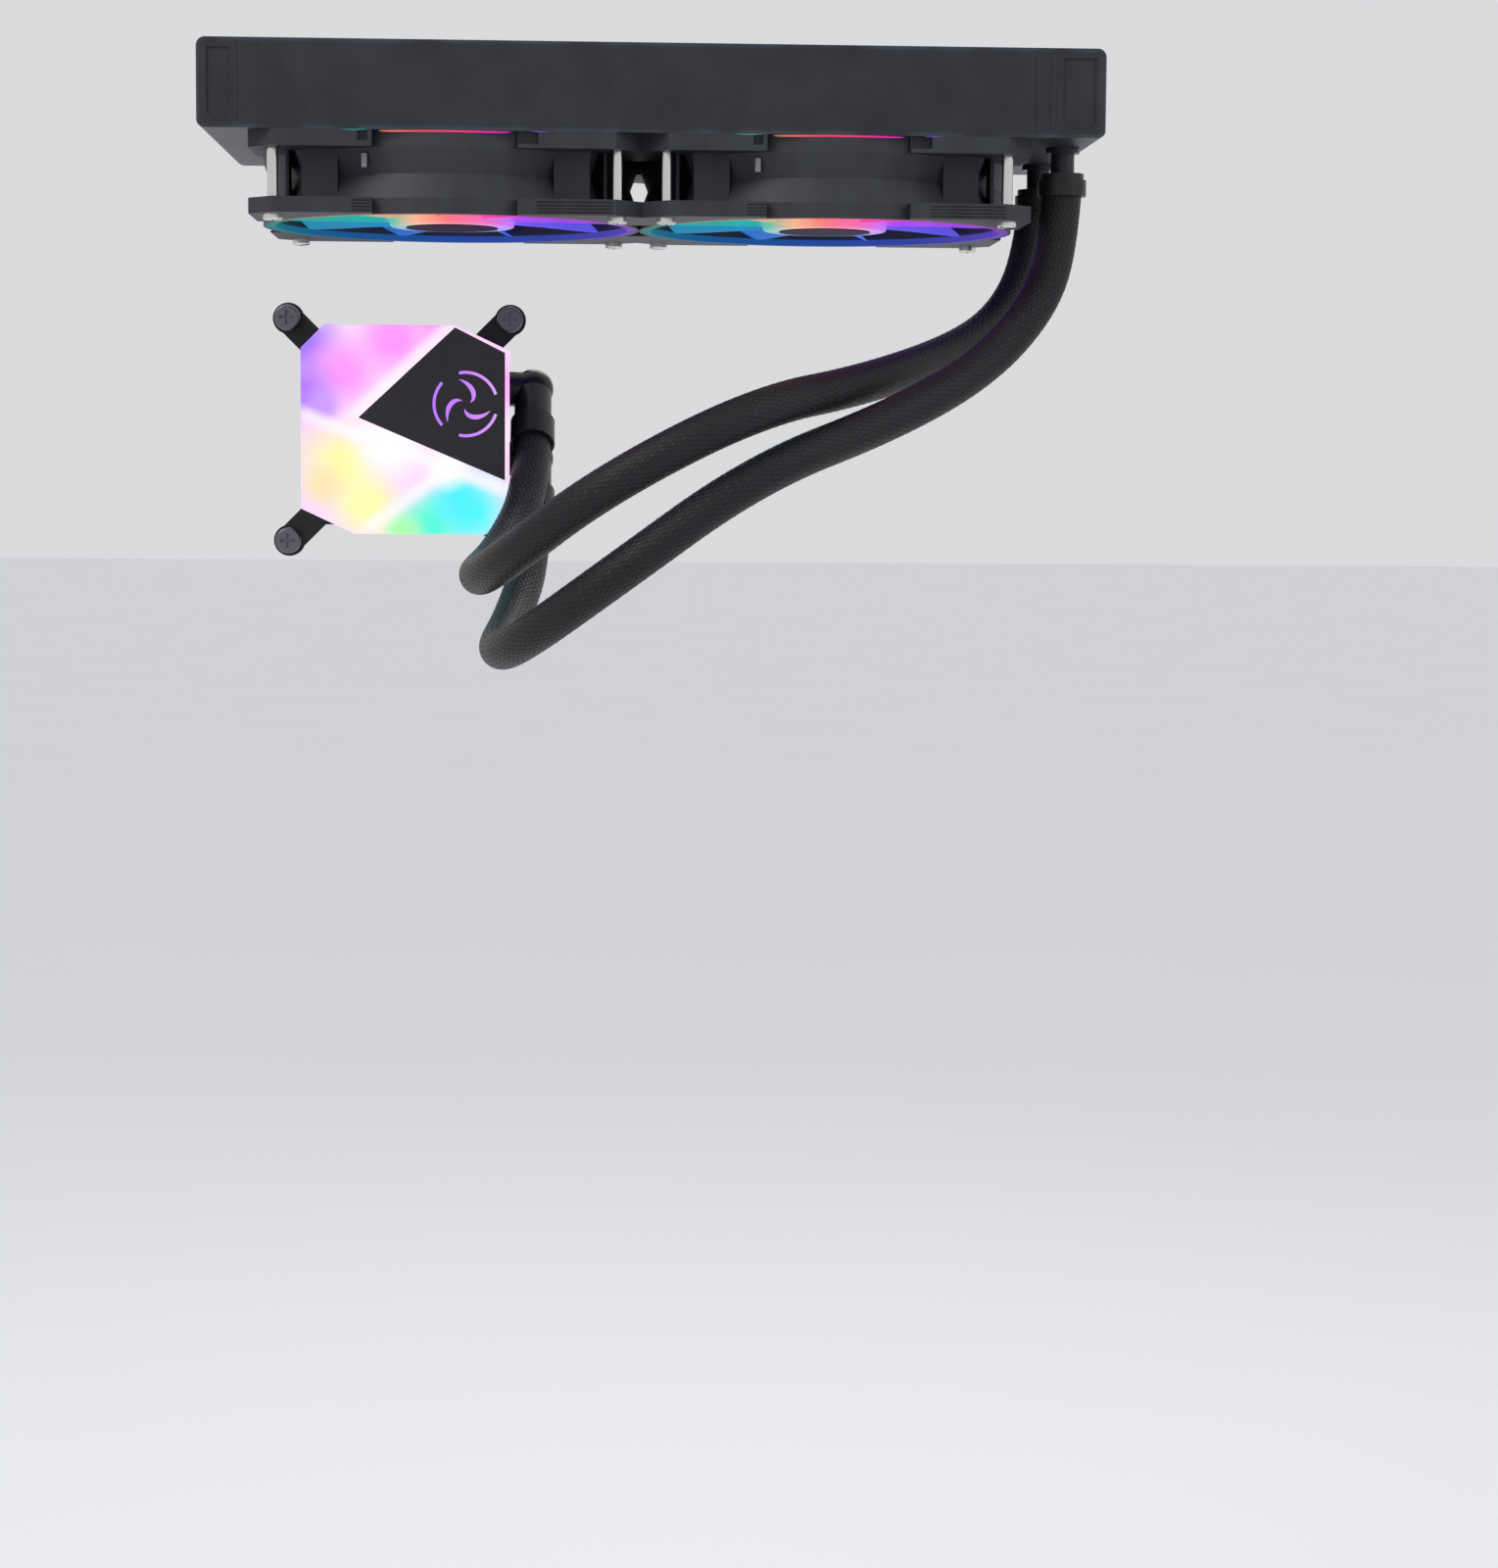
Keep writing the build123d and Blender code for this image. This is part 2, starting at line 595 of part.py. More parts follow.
def fan_stator():
    """The fan motor's core and coils, round the bearing tube."""
    return stator(STATOR_R, FAN_TUBE_R + SLIP, STATOR_POLES, POLE_WIDTH, FAN_BOTTOM_Z + 6.5, FAN_BASE_Z - 2.0)


def fan_board():
    """The ring-shaped circuit board under the motor seat."""
    return ring_z(0, 0, FAN_BASE_Z - FAN_BOARD_THICK, FAN_BASE_Z, FAN_BOARD_R, FAN_TUBE_R + SLIP)


def fan_hub_disc():
    """The dark round film on the hub cap."""
    top = FAN_BOTTOM_Z + 0.4
    return rod_z(0, 0, top - HUB_DISC_THICK, top, HUB_DISC_R)


def cross_recess(size, width, z0, z1):
    """A cross-shaped cutter along Z."""
    half, side = size / 2, width / 2
    return block(-half, half, -side, side, z0, z1) + block(-side, side, -half, half, z0, z1)


def fan_screws():
    """The four long screws that hold a fan to the radiator: a shank, and a thinner threaded end."""
    head_z = FAN_BOTTOM_Z - FAN_SCREW_HEAD
    shank = rod_z(0, 0, FAN_BOTTOM_Z, FAN_TOP_Z, FAN_SCREW_R)
    shank += rod_z(0, 0, FAN_TOP_Z, FAN_TOP_Z + FAN_SCREW_REACH, FAN_THREAD_R)
    head = fillet(rod_z(0, 0, head_z, FAN_BOTTOM_Z, FAN_SCREW_HEAD_R).edges().sort_by(Axis.Z)[0], 0.7)
    screw = shank + head - cross_recess(3.6, 0.8, head_z - 1, head_z + 1.2)
    return Compound([Pos(x * HALF_SCREWS, y * HALF_SCREWS, 0) * screw for x, y in CORNERS])


def write_fans():
    nodes = {
        "fan_frame": fan_frame(),
        "fan_light_ring": light_ring(),
        "fan_rotor": fan_rotor(),
        "fan_hub_disc": fan_hub_disc(),
        "fan_magnet": fan_magnet(),
        "fan_shaft": fan_shaft(),
        "fan_bearing": fan_bearing(),
        "fan_stator": fan_stator(),
        "fan_board": fan_board(),
        "fan_screws": fan_screws(),
    }
    for name, shape in nodes.items():
        for letter, x in FAN_X.items():
            save(Pos(x, 0, 0) * shape, f"{name}_{letter}")


# ---------------------------------------------------------------- pump block
def face_outline(inset=0.0):
    """The face's eight-sided outline, with two small and two long corner cuts."""
    left, right = FACE_LEFT_X + inset, FACE_RIGHT_X - inset
    bottom, top = FACE_BOTTOM_Z + inset, FACE_TOP_Z - inset
    return [
        (left, top - FACE_SMALL_CUT),
        (left + FACE_SMALL_CUT, top),
        (right - FACE_LARGE_CUT_X, top),
        (right, top - FACE_LARGE_CUT_Z),
        (right, bottom + FACE_SMALL_CUT),
        (right - FACE_SMALL_CUT, bottom),
        (left + FACE_LARGE_CUT_X, bottom),
        (left, bottom + FACE_LARGE_CUT_Z),
    ]


def panel_outline(inset=0.0):
    """The kite of the dark panel, inside the face's top right corner."""
    right = FACE_RIGHT_X - 1.4 - inset
    top = FACE_TOP_Z - 0.6 - inset
    return [
        (FACE_RIGHT_X - FACE_LARGE_CUT_X - 0.4, top),
        (right, FACE_TOP_Z - FACE_LARGE_CUT_Z - 0.6 - inset),
        (right, FACE_BOTTOM_Z + 18.2 + 2 * inset),
        (FACE_LEFT_X + 19.2 + 2 * inset, FACE_TOP_Z - 31.3),
    ]


def diffuser_plate():
    plate = plate_y(face_outline(), FACE_Y, FACE_Y + FACE_THICK)
    plate = chamfer(plate.faces().sort_by(Axis.Y)[0].edges(), 0.6)
    return plate - plate_y(panel_outline(), FACE_Y - 1, FACE_Y + PANEL_THICK)


def kite_panel():
    return plate_y(panel_outline(2 * SLIP), FACE_Y - 0.1, FACE_Y + PANEL_THICK)


def block_shroud():
    """The cover behind the face, open at its back."""
    y0 = FACE_Y + FACE_THICK
    shell = plate_y(face_outline(SHROUD_INSET), y0, SHROUD_BACK_Y)
    shell -= plate_y(face_outline(SHROUD_INSET + SHROUD_WALL), y0 - 1, SHROUD_BACK_Y + 1)
    return shell


def led_board():
    y0 = FACE_Y + FACE_THICK + 2.5
    board = plate_y(face_outline(SHROUD_INSET + SHROUD_WALL + 0.4), y0, y0 + 1.6)
    lamps = []
    for column in range(5):
        for row in range(5):
            x = BLOCK_X - 24 + 12 * column
            z = BLOCK_Z - 24 + 12 * row
            lamps.append(block(x - 1.7, x + 1.7, y0 - 1.0, y0, z - 1.7, z + 1.7))
    return joined([board] + lamps)


def pump_board():
    y0 = CAN_FRONT_Y - 2.6
    board = rod_y(BLOCK_X, BLOCK_Z, y0, y0 + 1.6, 26.0)
    chips = [block(BLOCK_X + x - 3, BLOCK_X + x + 3, y0 - 1.2, y0, BLOCK_Z + z - 3, BLOCK_Z + z + 3)
             for x, z in ((-12, 8), (10, -9), (4, 12))]
    return joined([board] + chips)


def pump_can():
    """The cup that keeps the water from the motor's windings."""
    cup = rod_y(BLOCK_X, BLOCK_Z, CAN_FRONT_Y, CAN_BACK_Y, CAN_R)
    cup -= rod_y(BLOCK_X, BLOCK_Z, CAN_FRONT_Y + CAN_WALL, CAN_BACK_Y + 1, CAN_R - CAN_WALL)
    lip = ring_y(BLOCK_X, BLOCK_Z, CAN_BACK_Y - 1.5, CAN_BACK_Y, CAN_R + 3, CAN_R - CAN_WALL)
    seat = ring_y(BLOCK_X, BLOCK_Z, CAN_FRONT_Y + CAN_WALL, CAN_FRONT_Y + 4, 3.0, PUMP_SHAFT_R)
    return cup + lip + seat


def pump_stator():
    """The windings round the can, along Y."""
    ring = ring_y(BLOCK_X, BLOCK_Z, CAN_FRONT_Y + 1.5, CAN_FRONT_Y + 9.5, 23.0, 20.5)
    pieces = [ring]
    for index in range(6):
        pole = block(CAN_R + 0.4, 21.0, -2.2, 2.2, -4.0, 4.0) + block(CAN_R + 2.0, 20.0, -4.0, 4.0, -5.0, 5.0)
        place = Pos(BLOCK_X, CAN_FRONT_Y + 5.5, BLOCK_Z) * Rot(90, 0, 0) * Rot(0, 0, 60 * index)
        pieces.append(place * pole)
    return joined(pieces)


def pump_magnet():
    y0 = CAN_FRONT_Y + 4.6
    return ring_y(BLOCK_X, BLOCK_Z, y0, CAN_BACK_Y - 0.5, CAN_R - CAN_WALL - 0.6, PUMP_SHAFT_R + SLIP)


def pump_impeller():
    """A disc with six swept vanes on its far side."""
    y0 = CAN_BACK_Y - 0.5
    disc = rod_y(BLOCK_X, BLOCK_Z, y0, y0 + 1.5, 12.5) + rod_y(BLOCK_X, BLOCK_Z, y0, y0 + 5.0, 3.6)
    for index in range(6):
        vane = Pos(7.2, 1.5, 0) * Rot(0, 0, 25) * Box(9.0, 1.2, 3.5)
        lift = Pos(BLOCK_X, y0 + 1.5 + 1.75, BLOCK_Z) * Rot(90, 0, 0) * Rot(0, 0, 60 * index)
        disc += lift * vane
    return disc - rod_y(BLOCK_X, BLOCK_Z, y0 - 1, y0 + 6, PUMP_SHAFT_R + SLIP)


def pump_shaft():
    return rod_y(BLOCK_X, BLOCK_Z, CAN_FRONT_Y + CAN_WALL, DIVIDER_FRONT_Y + DIVIDER_THICK / 2, PUMP_SHAFT_R)


def pump_divider():
    """The plate between the impeller's chamber and the cold plate."""
    front, back = DIVIDER_FRONT_Y, DIVIDER_FRONT_Y + DIVIDER_THICK
    plate = rod_y(BLOCK_X, BLOCK_Z, front, back, DIVIDER_R)
    plate -= rod_y(BLOCK_X, BLOCK_Z, front - 1, front + DIVIDER_THICK / 2, PUMP_SHAFT_R)
    inlet = rod_y(BLOCK_X + 9, BLOCK_Z, front - 1, back + 1, 2.0)
    return plate - inlet - block(-91, -87, front - 1, back + 1, -123, -107)


def block_manifold():
    """The block's body: motor seat, impeller chamber, water chamber and the two hose sockets."""
    half = MANIFOLD_HALF_HEIGHT
    low, high = BLOCK_Z - half, BLOCK_Z + half
    body = block(MANIFOLD_LEFT_X, MANIFOLD_RIGHT_X, SHROUD_BACK_Y, MANIFOLD_BACK_Y, low, high)
    body = chamfer(body.edges().filter_by(Axis.Y), 6.0)
    cuts = [
        rod_y(BLOCK_X, BLOCK_Z, SHROUD_BACK_Y - 1, CAN_FRONT_Y + 11.5, 23.6),
        rod_y(BLOCK_X, BLOCK_Z, SHROUD_BACK_Y - 1, CAN_BACK_Y, CAN_R + 0.1),
        rod_y(BLOCK_X, BLOCK_Z, CAN_BACK_Y - 1.6, CAN_BACK_Y + 7.5, CAN_R + 3.1),
        rod_y(BLOCK_X, BLOCK_Z, DIVIDER_FRONT_Y - 0.1, DIVIDER_FRONT_Y + DIVIDER_THICK + 0.1, DIVIDER_R + 0.1),
        rod_y(BLOCK_X, BLOCK_Z, DIVIDER_FRONT_Y + DIVIDER_THICK, MANIFOLD_BACK_Y + 1, WATER_CHAMBER_R),
    ]
    for route in (HOSE_FAR_ROUTE, HOSE_NEAR_ROUTE):
        centre, _ = elbow_centre(route)
        depth = MANIFOLD_RIGHT_X - ELBOW_NECK_DEPTH - 0.4
        cuts.append(rod_x(centre.Y, centre.Z, depth, MANIFOLD_RIGHT_X + 1, ELBOW_NECK_R + SLIP))
    return body.cut(*cuts)


def block_gasket():
    half = COLD_PLATE_SIZE / 2
    ring = block(BLOCK_X - half, BLOCK_X + half, MANIFOLD_BACK_Y, COLD_PLATE_FRONT_Y, BLOCK_Z - half, BLOCK_Z + half)
    return ring - rod_y(BLOCK_X, BLOCK_Z, MANIFOLD_BACK_Y - 1, COLD_PLATE_FRONT_Y + 1, WATER_CHAMBER_R)


def cold_plate():
    """The copper base with its fine fins in the water chamber."""
    half = COLD_PLATE_SIZE / 2
    base = block(BLOCK_X - half, BLOCK_X + half, COLD_PLATE_FRONT_Y, COLD_PLATE_BACK_Y, BLOCK_Z - half, BLOCK_Z + half)
    base = chamfer(base.edges().filter_by(Axis.Y), 3.0)
    fins = []
    for index in range(MICROFIN_COUNT):
        z = BLOCK_Z + (index - (MICROFIN_COUNT - 1) / 2) * MICROFIN_PITCH
        half_fin = MICROFIN_THICK / 2
        fins.append(block(BLOCK_X - 14, BLOCK_X + 14, 99.0, COLD_PLATE_FRONT_Y, z - half_fin, z + half_fin))
    return joined([base] + fins) - plate_screws(COLD_PLATE_BACK_Y + 1, PLATE_SCREW_R + SLIP)


def plate_screws(back_y, radius):
    """Flat rods at the cold plate's screws, which end at back_y."""
    front_y = COLD_PLATE_BACK_Y - 1.5
    reach = COLD_PLATE_SIZE / 2 - 4.5
    places = CORNERS + [(-1, 0), (1, 0), (0, -1), (0, 1)]
    rods = [rod_y(BLOCK_X + x * reach, BLOCK_Z + z * reach, front_y, back_y, radius) for x, z in places]
    return Compound(rods)


def cold_plate_screws():
    return plate_screws(COLD_PLATE_BACK_Y - 0.1, PLATE_SCREW_R)


def mount_bracket():
    """The steel bracket: a window for the cold plate and an arm to each socket screw."""
    window = COLD_PLATE_SIZE / 2 + 0.5
    reach = SOCKET_SPACING / 2
    frame = block(BLOCK_X - 33, BLOCK_X + 33, BRACKET_FRONT_Y, BRACKET_BACK_Y, BLOCK_Z - 33, BLOCK_Z + 33)
    for across, along in CORNERS:
        x, z = BRACKET_X + across * reach, BRACKET_Z + along * reach
        turn = 45 if across * along < 0 else -45
        arm = Pos(x - across * 8, 0, z - along * 8) * Rot(0, turn, 0)
        length = 24
        bar = arm * block(-length / 2, length / 2, BRACKET_FRONT_Y, BRACKET_BACK_Y, -5, 5)
        frame += bar + rod_y(x, z, BRACKET_FRONT_Y, BRACKET_BACK_Y, 5.5)
    for across, along in CORNERS:
        x, z = BRACKET_X + across * reach, BRACKET_Z + along * reach
        frame -= rod_y(x, z, BRACKET_FRONT_Y - 1, BRACKET_BACK_Y + 1, 2.6)
    opening = block(-window, window, BRACKET_FRONT_Y - 1, BRACKET_BACK_Y + 1, -window, window)
    return frame - Pos(BLOCK_X, 0, BLOCK_Z) * opening


def at_sockets(piece):
    """Copies of a piece at the four socket screws."""
    reach = SOCKET_SPACING / 2
    return Compound([Pos(BRACKET_X + x * reach, 0, BRACKET_Z + z * reach) * piece for x, z in CORNERS])


def captive_screws():
    back = CAPTIVE_HEAD_FRONT_Y + CAPTIVE_HEAD
    head = rod_y(0, 0, CAPTIVE_HEAD_FRONT_Y, back, CAPTIVE_HEAD_R)
    head = fillet(head.edges().sort_by(Axis.Y)[0], 0.6)
    shank = rod_y(0, 0, back, BRACKET_BACK_Y + 3, 2.5)
    stud = rod_y(0, 0, BRACKET_BACK_Y + 3, STUD_END_Y, STUD_R)
    recess = Rot(90, 0, 0) * cross_recess(5.0, 1.1, -CAPTIVE_HEAD_FRONT_Y - 1.6, -CAPTIVE_HEAD_FRONT_Y + 1)
    return at_sockets(head + shank + stud - recess)


def captive_springs():
    """A coil spring between each screw head and the bracket."""
    back = CAPTIVE_HEAD_FRONT_Y + CAPTIVE_HEAD
    wire = 0.35
    travel = BRACKET_FRONT_Y - back - 2 * wire - 2 * SLIP
    coil = Helix(pitch=travel / 2.5, height=travel, radius=3.3)
    section = Plane(origin=coil @ 0, z_dir=coil % 0) * Circle(wire)
    spring = sweep(section, path=coil)
    return at_sockets(Pos(0, BRACKET_FRONT_Y - wire - SLIP, 0) * Rot(90, 0, 0) * spring)


def cable_gland():
    """The rubber grommet where the pump's lead leaves the shroud's top."""
    z = FACE_TOP_Z - SHROUD_INSET
    gland = block(*GLAND_X, *GLAND_Y, z, z + GLAND_HEIGHT)
    return fillet(gland.edges().filter_by(Axis.Z), 1.5)


# ---------------------------------------------------------------- all nodes
def write_radiator():
    save(tank_left(), "tank_left")
    save(tank_right(), "tank_right")
    save(header(CORE_LEFT_X), "header_left")
    save(header(CORE_RIGHT_X - HEADER_THICK), "header_right")
    save(side_plate(-1), "side_plate_near")
    save(side_plate(1), "side_plate_far")
    save(Compound([hollow_tube(y) for y in flat_tube_rows()]), "flat_tubes")
    save(fin_strips(), "fin_strips")
    save(fill_plug(), "fill_plug")
    for side, name in ((-1, "near"), (1, "far")):
        save(port(side), f"port_{name}")
        save(port_ferrule(side), f"port_ferrule_{name}")


def write_hoses():
    save(hose(HOSE_FAR_ROUTE, "hose_far"), "hose_far")
    save(hose(HOSE_NEAR_ROUTE, "hose_near"), "hose_near")
    for route, name in ((HOSE_FAR_ROUTE, "upper"), (HOSE_NEAR_ROUTE, "lower")):
        save(elbow(route), f"elbow_{name}")
        save(elbow_ferrule(route), f"elbow_ferrule_{name}")


def write_pump_block():
    makers = [
        diffuser_plate, kite_panel, block_shroud, led_board, pump_board, pump_can, pump_stator,
        pump_magnet, pump_impeller, pump_shaft, pump_divider, block_manifold, block_gasket, cold_plate,
        cold_plate_screws, mount_bracket, captive_screws, captive_springs, cable_gland,
    ]
    for maker in makers:
        save(maker(), maker.__name__)


os.makedirs("parts", exist_ok=True)
write_radiator()
write_hoses()
write_fans()
write_pump_block()
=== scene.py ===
"""Looks for a sealed liquid cooler: finned radiator, lit fans, braided hoses and lit pump block."""

import logging
import math
from dataclasses import dataclass, field
from enum import Enum

import bmesh
import bpy
from mathutils import Matrix, Vector


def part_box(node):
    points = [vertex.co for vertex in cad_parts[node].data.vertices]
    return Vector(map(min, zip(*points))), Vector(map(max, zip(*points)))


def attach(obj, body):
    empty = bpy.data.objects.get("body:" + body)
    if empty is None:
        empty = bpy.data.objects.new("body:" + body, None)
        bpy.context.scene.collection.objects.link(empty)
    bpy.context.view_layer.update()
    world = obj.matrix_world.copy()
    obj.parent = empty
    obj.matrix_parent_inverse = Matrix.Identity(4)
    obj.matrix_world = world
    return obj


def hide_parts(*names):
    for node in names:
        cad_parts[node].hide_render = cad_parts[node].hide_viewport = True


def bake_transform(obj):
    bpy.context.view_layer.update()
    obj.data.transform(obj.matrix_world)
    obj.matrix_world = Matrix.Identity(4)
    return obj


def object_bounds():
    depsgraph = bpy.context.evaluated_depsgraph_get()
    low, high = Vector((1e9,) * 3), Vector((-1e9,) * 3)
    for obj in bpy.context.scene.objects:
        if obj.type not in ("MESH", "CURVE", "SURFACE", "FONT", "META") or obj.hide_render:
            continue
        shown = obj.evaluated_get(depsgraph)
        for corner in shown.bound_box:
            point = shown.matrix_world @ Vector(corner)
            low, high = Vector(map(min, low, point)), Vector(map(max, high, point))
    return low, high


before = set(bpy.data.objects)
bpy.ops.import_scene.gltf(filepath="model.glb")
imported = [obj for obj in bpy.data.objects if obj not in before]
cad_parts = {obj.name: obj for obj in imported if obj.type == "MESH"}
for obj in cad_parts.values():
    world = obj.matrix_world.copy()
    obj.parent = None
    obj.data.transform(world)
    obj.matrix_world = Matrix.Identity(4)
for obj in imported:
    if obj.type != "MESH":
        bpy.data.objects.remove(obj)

CAD_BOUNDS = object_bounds()
MM = 0.001
ROOT = "cooler"
Colour = tuple[float, float, float]
Point = tuple[float, float, float]
log = logging.getLogger("cooler")


# ------------------------------------------------------------------ shader writing
class Signal:
    """A shader value that is written in ordinary arithmetic."""

    def __init__(self, recipe: "Recipe", socket: bpy.types.NodeSocket) -> None:
        """Wraps one output socket of the recipe's tree."""
        self.recipe = recipe
        self.socket = socket

    def math(self, operation: str, *others: "Signal | float", reflected: bool = False) -> "Signal":
        """Adds one Math node.

        Args:
            operation: the Math node's operation.
            others: its further values.
            reflected: True where this signal is the second value.

        Returns:
            The node's result.
        """
        values: list[object] = [self, *others]
        if reflected:
            values.reverse()
        node = self.recipe.add("ShaderNodeMath", {"operation": operation}, dict(enumerate(values)))
        return Signal(self.recipe, node.outputs[0])

    def __add__(self, other: "Signal | float") -> "Signal":
        """Sum."""
        return self.math("ADD", other)

    def __radd__(self, other: float) -> "Signal":
        """Sum, number first."""
        return self.math("ADD", other)

    def __sub__(self, other: "Signal | float") -> "Signal":
        """Difference."""
        return self.math("SUBTRACT", other)

    def __rsub__(self, other: float) -> "Signal":
        """Difference, number first."""
        return self.math("SUBTRACT", other, reflected=True)

    def __mul__(self, other: "Signal | float") -> "Signal":
        """Product."""
        return self.math("MULTIPLY", other)

    def __rmul__(self, other: float) -> "Signal":
        """Product, number first."""
        return self.math("MULTIPLY", other)

    def __truediv__(self, other: "Signal | float") -> "Signal":
        """Quotient."""
        return self.math("DIVIDE", other)

    def __rtruediv__(self, other: float) -> "Signal":
        """Quotient, number first."""
        return self.math("DIVIDE", other, reflected=True)

    def __abs__(self) -> "Signal":
        """Absolute value."""
        return self.math("ABSOLUTE")

    def smooth(self, low: float, high: float) -> "Signal":
        """Rises smoothly from 0 at low to 1 at high.

        Args:
            low: where the rise starts; it may lie above high, for a fall.
            high: where it ends.

        Returns:
            A signal from 0 to 1.
        """
        inputs = {"Value": self, "From Min": low, "From Max": high}
        node = self.recipe.add("ShaderNodeMapRange", {"interpolation_type": "SMOOTHSTEP"}, inputs)
        return Signal(self.recipe, node.outputs[0])


Value = Signal | float


class Recipe:
    """One material's node tree, with its Principled shader."""

    def __init__(self, name: str) -> None:
        """Starts an empty material."""
        self.material = bpy.data.materials.new(name)
        self.material.use_nodes = True
        self.tree = self.material.node_tree
        self.tree.nodes.clear()
        self.surface = self.add("ShaderNodeBsdfPrincipled")
        self.add("ShaderNodeOutputMaterial", None, {"Surface": self.surface.outputs[0]})

    def add(
        self,
        kind: str,
        settings: dict[str, object] | None = None,
        inputs: dict[str | int, object] | None = None,
    ) -> bpy.types.Node:
        """Adds any node: its type, its settings first, then its sockets' values or links.

        Args:
            kind: the node's type.
            settings: the node's own properties; "stops" are a ramp's positions and colours.
            inputs: socket name or number to a value, a Signal or a socket.

        Returns:
            The node.
        """
        node = self.tree.nodes.new(kind)
        for name, value in (settings or {}).items():
            if name == "stops":
                self.set_stops(node.color_ramp, value)
            else:
                setattr(node, name, value)
        for key, value in (inputs or {}).items():
            self.feed(node.inputs[key], value)
        return node

    @staticmethod
    def set_stops(ramp: bpy.types.ColorRamp, stops: list[tuple[float, Colour]]) -> None:
        """Writes a ramp's stops, in order of position."""
        while len(ramp.elements) < len(stops):
            ramp.elements.new(1.0)
        for element, (position, colour) in zip(ramp.elements, stops):
            element.position = position
            element.color = (*colour, 1.0)

    def feed(self, socket: bpy.types.NodeSocket, value: object) -> None:
        """Gives a socket a link or a plain value."""
        source = value.socket if isinstance(value, Signal) else value
        if isinstance(source, bpy.types.NodeSocket):
            self.tree.links.new(source, socket)
        elif socket.type == "RGBA":
            socket.default_value = (*source, 1.0)
        else:
            socket.default_value = source

    def dress(self, **sockets: object) -> None:
        """Feeds the shader's sockets, named with _ for each space."""
        for name, value in sockets.items():
            self.feed(self.surface.inputs[name.replace("_", " ")], value)

    def place(self) -> tuple[Signal, Signal, Signal]:
        """The point's X, Y and Z in the row frame, in millimetres."""
        parts = self.add("ShaderNodeSeparateXYZ", None, {0: self.spread((1000.0, 1000.0, 1000.0))})
        return tuple(Signal(self, parts.outputs[axis]) for axis in range(3))

    def spread(self, scale: Point) -> bpy.types.NodeSocket:
        """The point's place in the row frame, times a scale along each axis."""
        coordinates = self.add("ShaderNodeTexCoord").outputs["Object"]
        node = self.add("ShaderNodeVectorMath", {"operation": "MULTIPLY"}, {0: coordinates, 1: scale})
        return node.outputs[0]

    def grain(self, size: float, detail: float = 3.0, stretch: Point = (1.0, 1.0, 1.0)) -> Signal:
        """Noise with features of about size millimetres.

        Args:
            size: the feature size.
            detail: how many finer layers it has.
            stretch: how much longer the features are along each axis.

        Returns:
            A signal about 0.5.
        """
        scale = tuple(1000.0 / (size * longer) for longer in stretch)
        inputs = {"Vector": self.spread(scale), "Scale": 1.0, "Detail": detail}
        node = self.add("ShaderNodeTexNoise", None, inputs)
        return Signal(self, node.outputs[0])

    def attribute(self, name: str) -> Signal:
        """A number that a mesh carries at its points."""
        node = self.add("ShaderNodeAttribute", {"attribute_name": name})
        return Signal(self, node.outputs["Fac"])

    def mix(self, amount: Value, first: object, second: object, how: str = "MIX") -> bpy.types.NodeSocket:
        """Two colours mixed.

        Args:
            amount: 0 for the first, 1 for the second.
            first: a colour or a colour socket.
            second: a colour or a colour socket.
            how: the blend type.

        Returns:
            The mixed colour's socket.
        """
        settings = {"data_type": "RGBA", "blend_type": how}
        return self.add("ShaderNodeMix", settings, {0: amount, 6: first, 7: second}).outputs[2]

    def ramp(self, amount: Signal, stops: list[tuple[float, Colour]]) -> bpy.types.NodeSocket:
        """A colour that follows a signal through stops."""
        return self.add("ShaderNodeValToRGB", {"stops": stops}, {0: amount}).outputs[0]

    def bump(self, height: Signal, depth: float) -> bpy.types.NodeSocket:
        """A normal roughened by a height signal, depth in millimetres."""
        inputs = {"Strength": 1.0, "Distance": depth * MM, "Height": height}
        return self.add("ShaderNodeBump", None, inputs).outputs[0]


def shade(colour: Colour, factor: float) -> Colour:
    """A colour made lighter or darker."""
    return tuple(min(1.0, part * factor) for part in colour)


# ------------------------------------------------------------------ finishes
@dataclass(frozen=True)
class Finish:
    """Any surface finish: its name, and the paint method that its own class gives it."""

    name: str

    def build(self) -> bpy.types.Material:
        """Makes the material."""
        recipe = Recipe(self.name)
        self.paint(recipe)
        return recipe.material

    def paint(self, recipe: Recipe) -> None:
        """Draws the finish into the recipe."""
        raise NotImplementedError(self.name)


@dataclass(frozen=True)
class PowderCoat(Finish):
    """Baked paint on metal: fine grain, faint cloudiness, and edges polished by handling."""

    colour: Colour
    grain: float = 0.35
    depth: float = 0.012
    roughness: float = 0.42
    gloss: float = 0.35
    faces: tuple[tuple[int, float], ...] = ()

    def paint(self, recipe: Recipe) -> None:
        """Draws the finish into the recipe."""
        place = recipe.place()
        cloud = recipe.grain(14.0, 4.0)
        fine = recipe.grain(self.grain, 2.0)
        scuff = recipe.grain(2.5, 6.0, (4.0, 1.0, 1.0)).smooth(0.62, 0.74)
        rub: Value = 0.0
        for axis, level in self.faces:
            rub = abs(place[axis] - level).smooth(1.9, 0.3) + rub
        if self.faces:
            rub = rub.smooth(1.15, 1.9) * cloud.smooth(0.3, 0.6)
        body = recipe.mix(cloud.smooth(0.3, 0.7), shade(self.colour, 0.82), shade(self.colour, 1.22))
        worn = recipe.mix(rub * 0.5, body, shade(self.colour, 3.2))
        marked = recipe.mix(scuff * 0.12, worn, shade(self.colour, 2.4))
        rough = self.roughness + (fine - 0.5) * 0.16 + (cloud - 0.5) * 0.12 - rub * 0.1
        normal = recipe.bump(fine, self.depth)
        recipe.dress(Base_Color=marked, Roughness=rough, Normal=normal, Specular_IOR_Level=self.gloss)


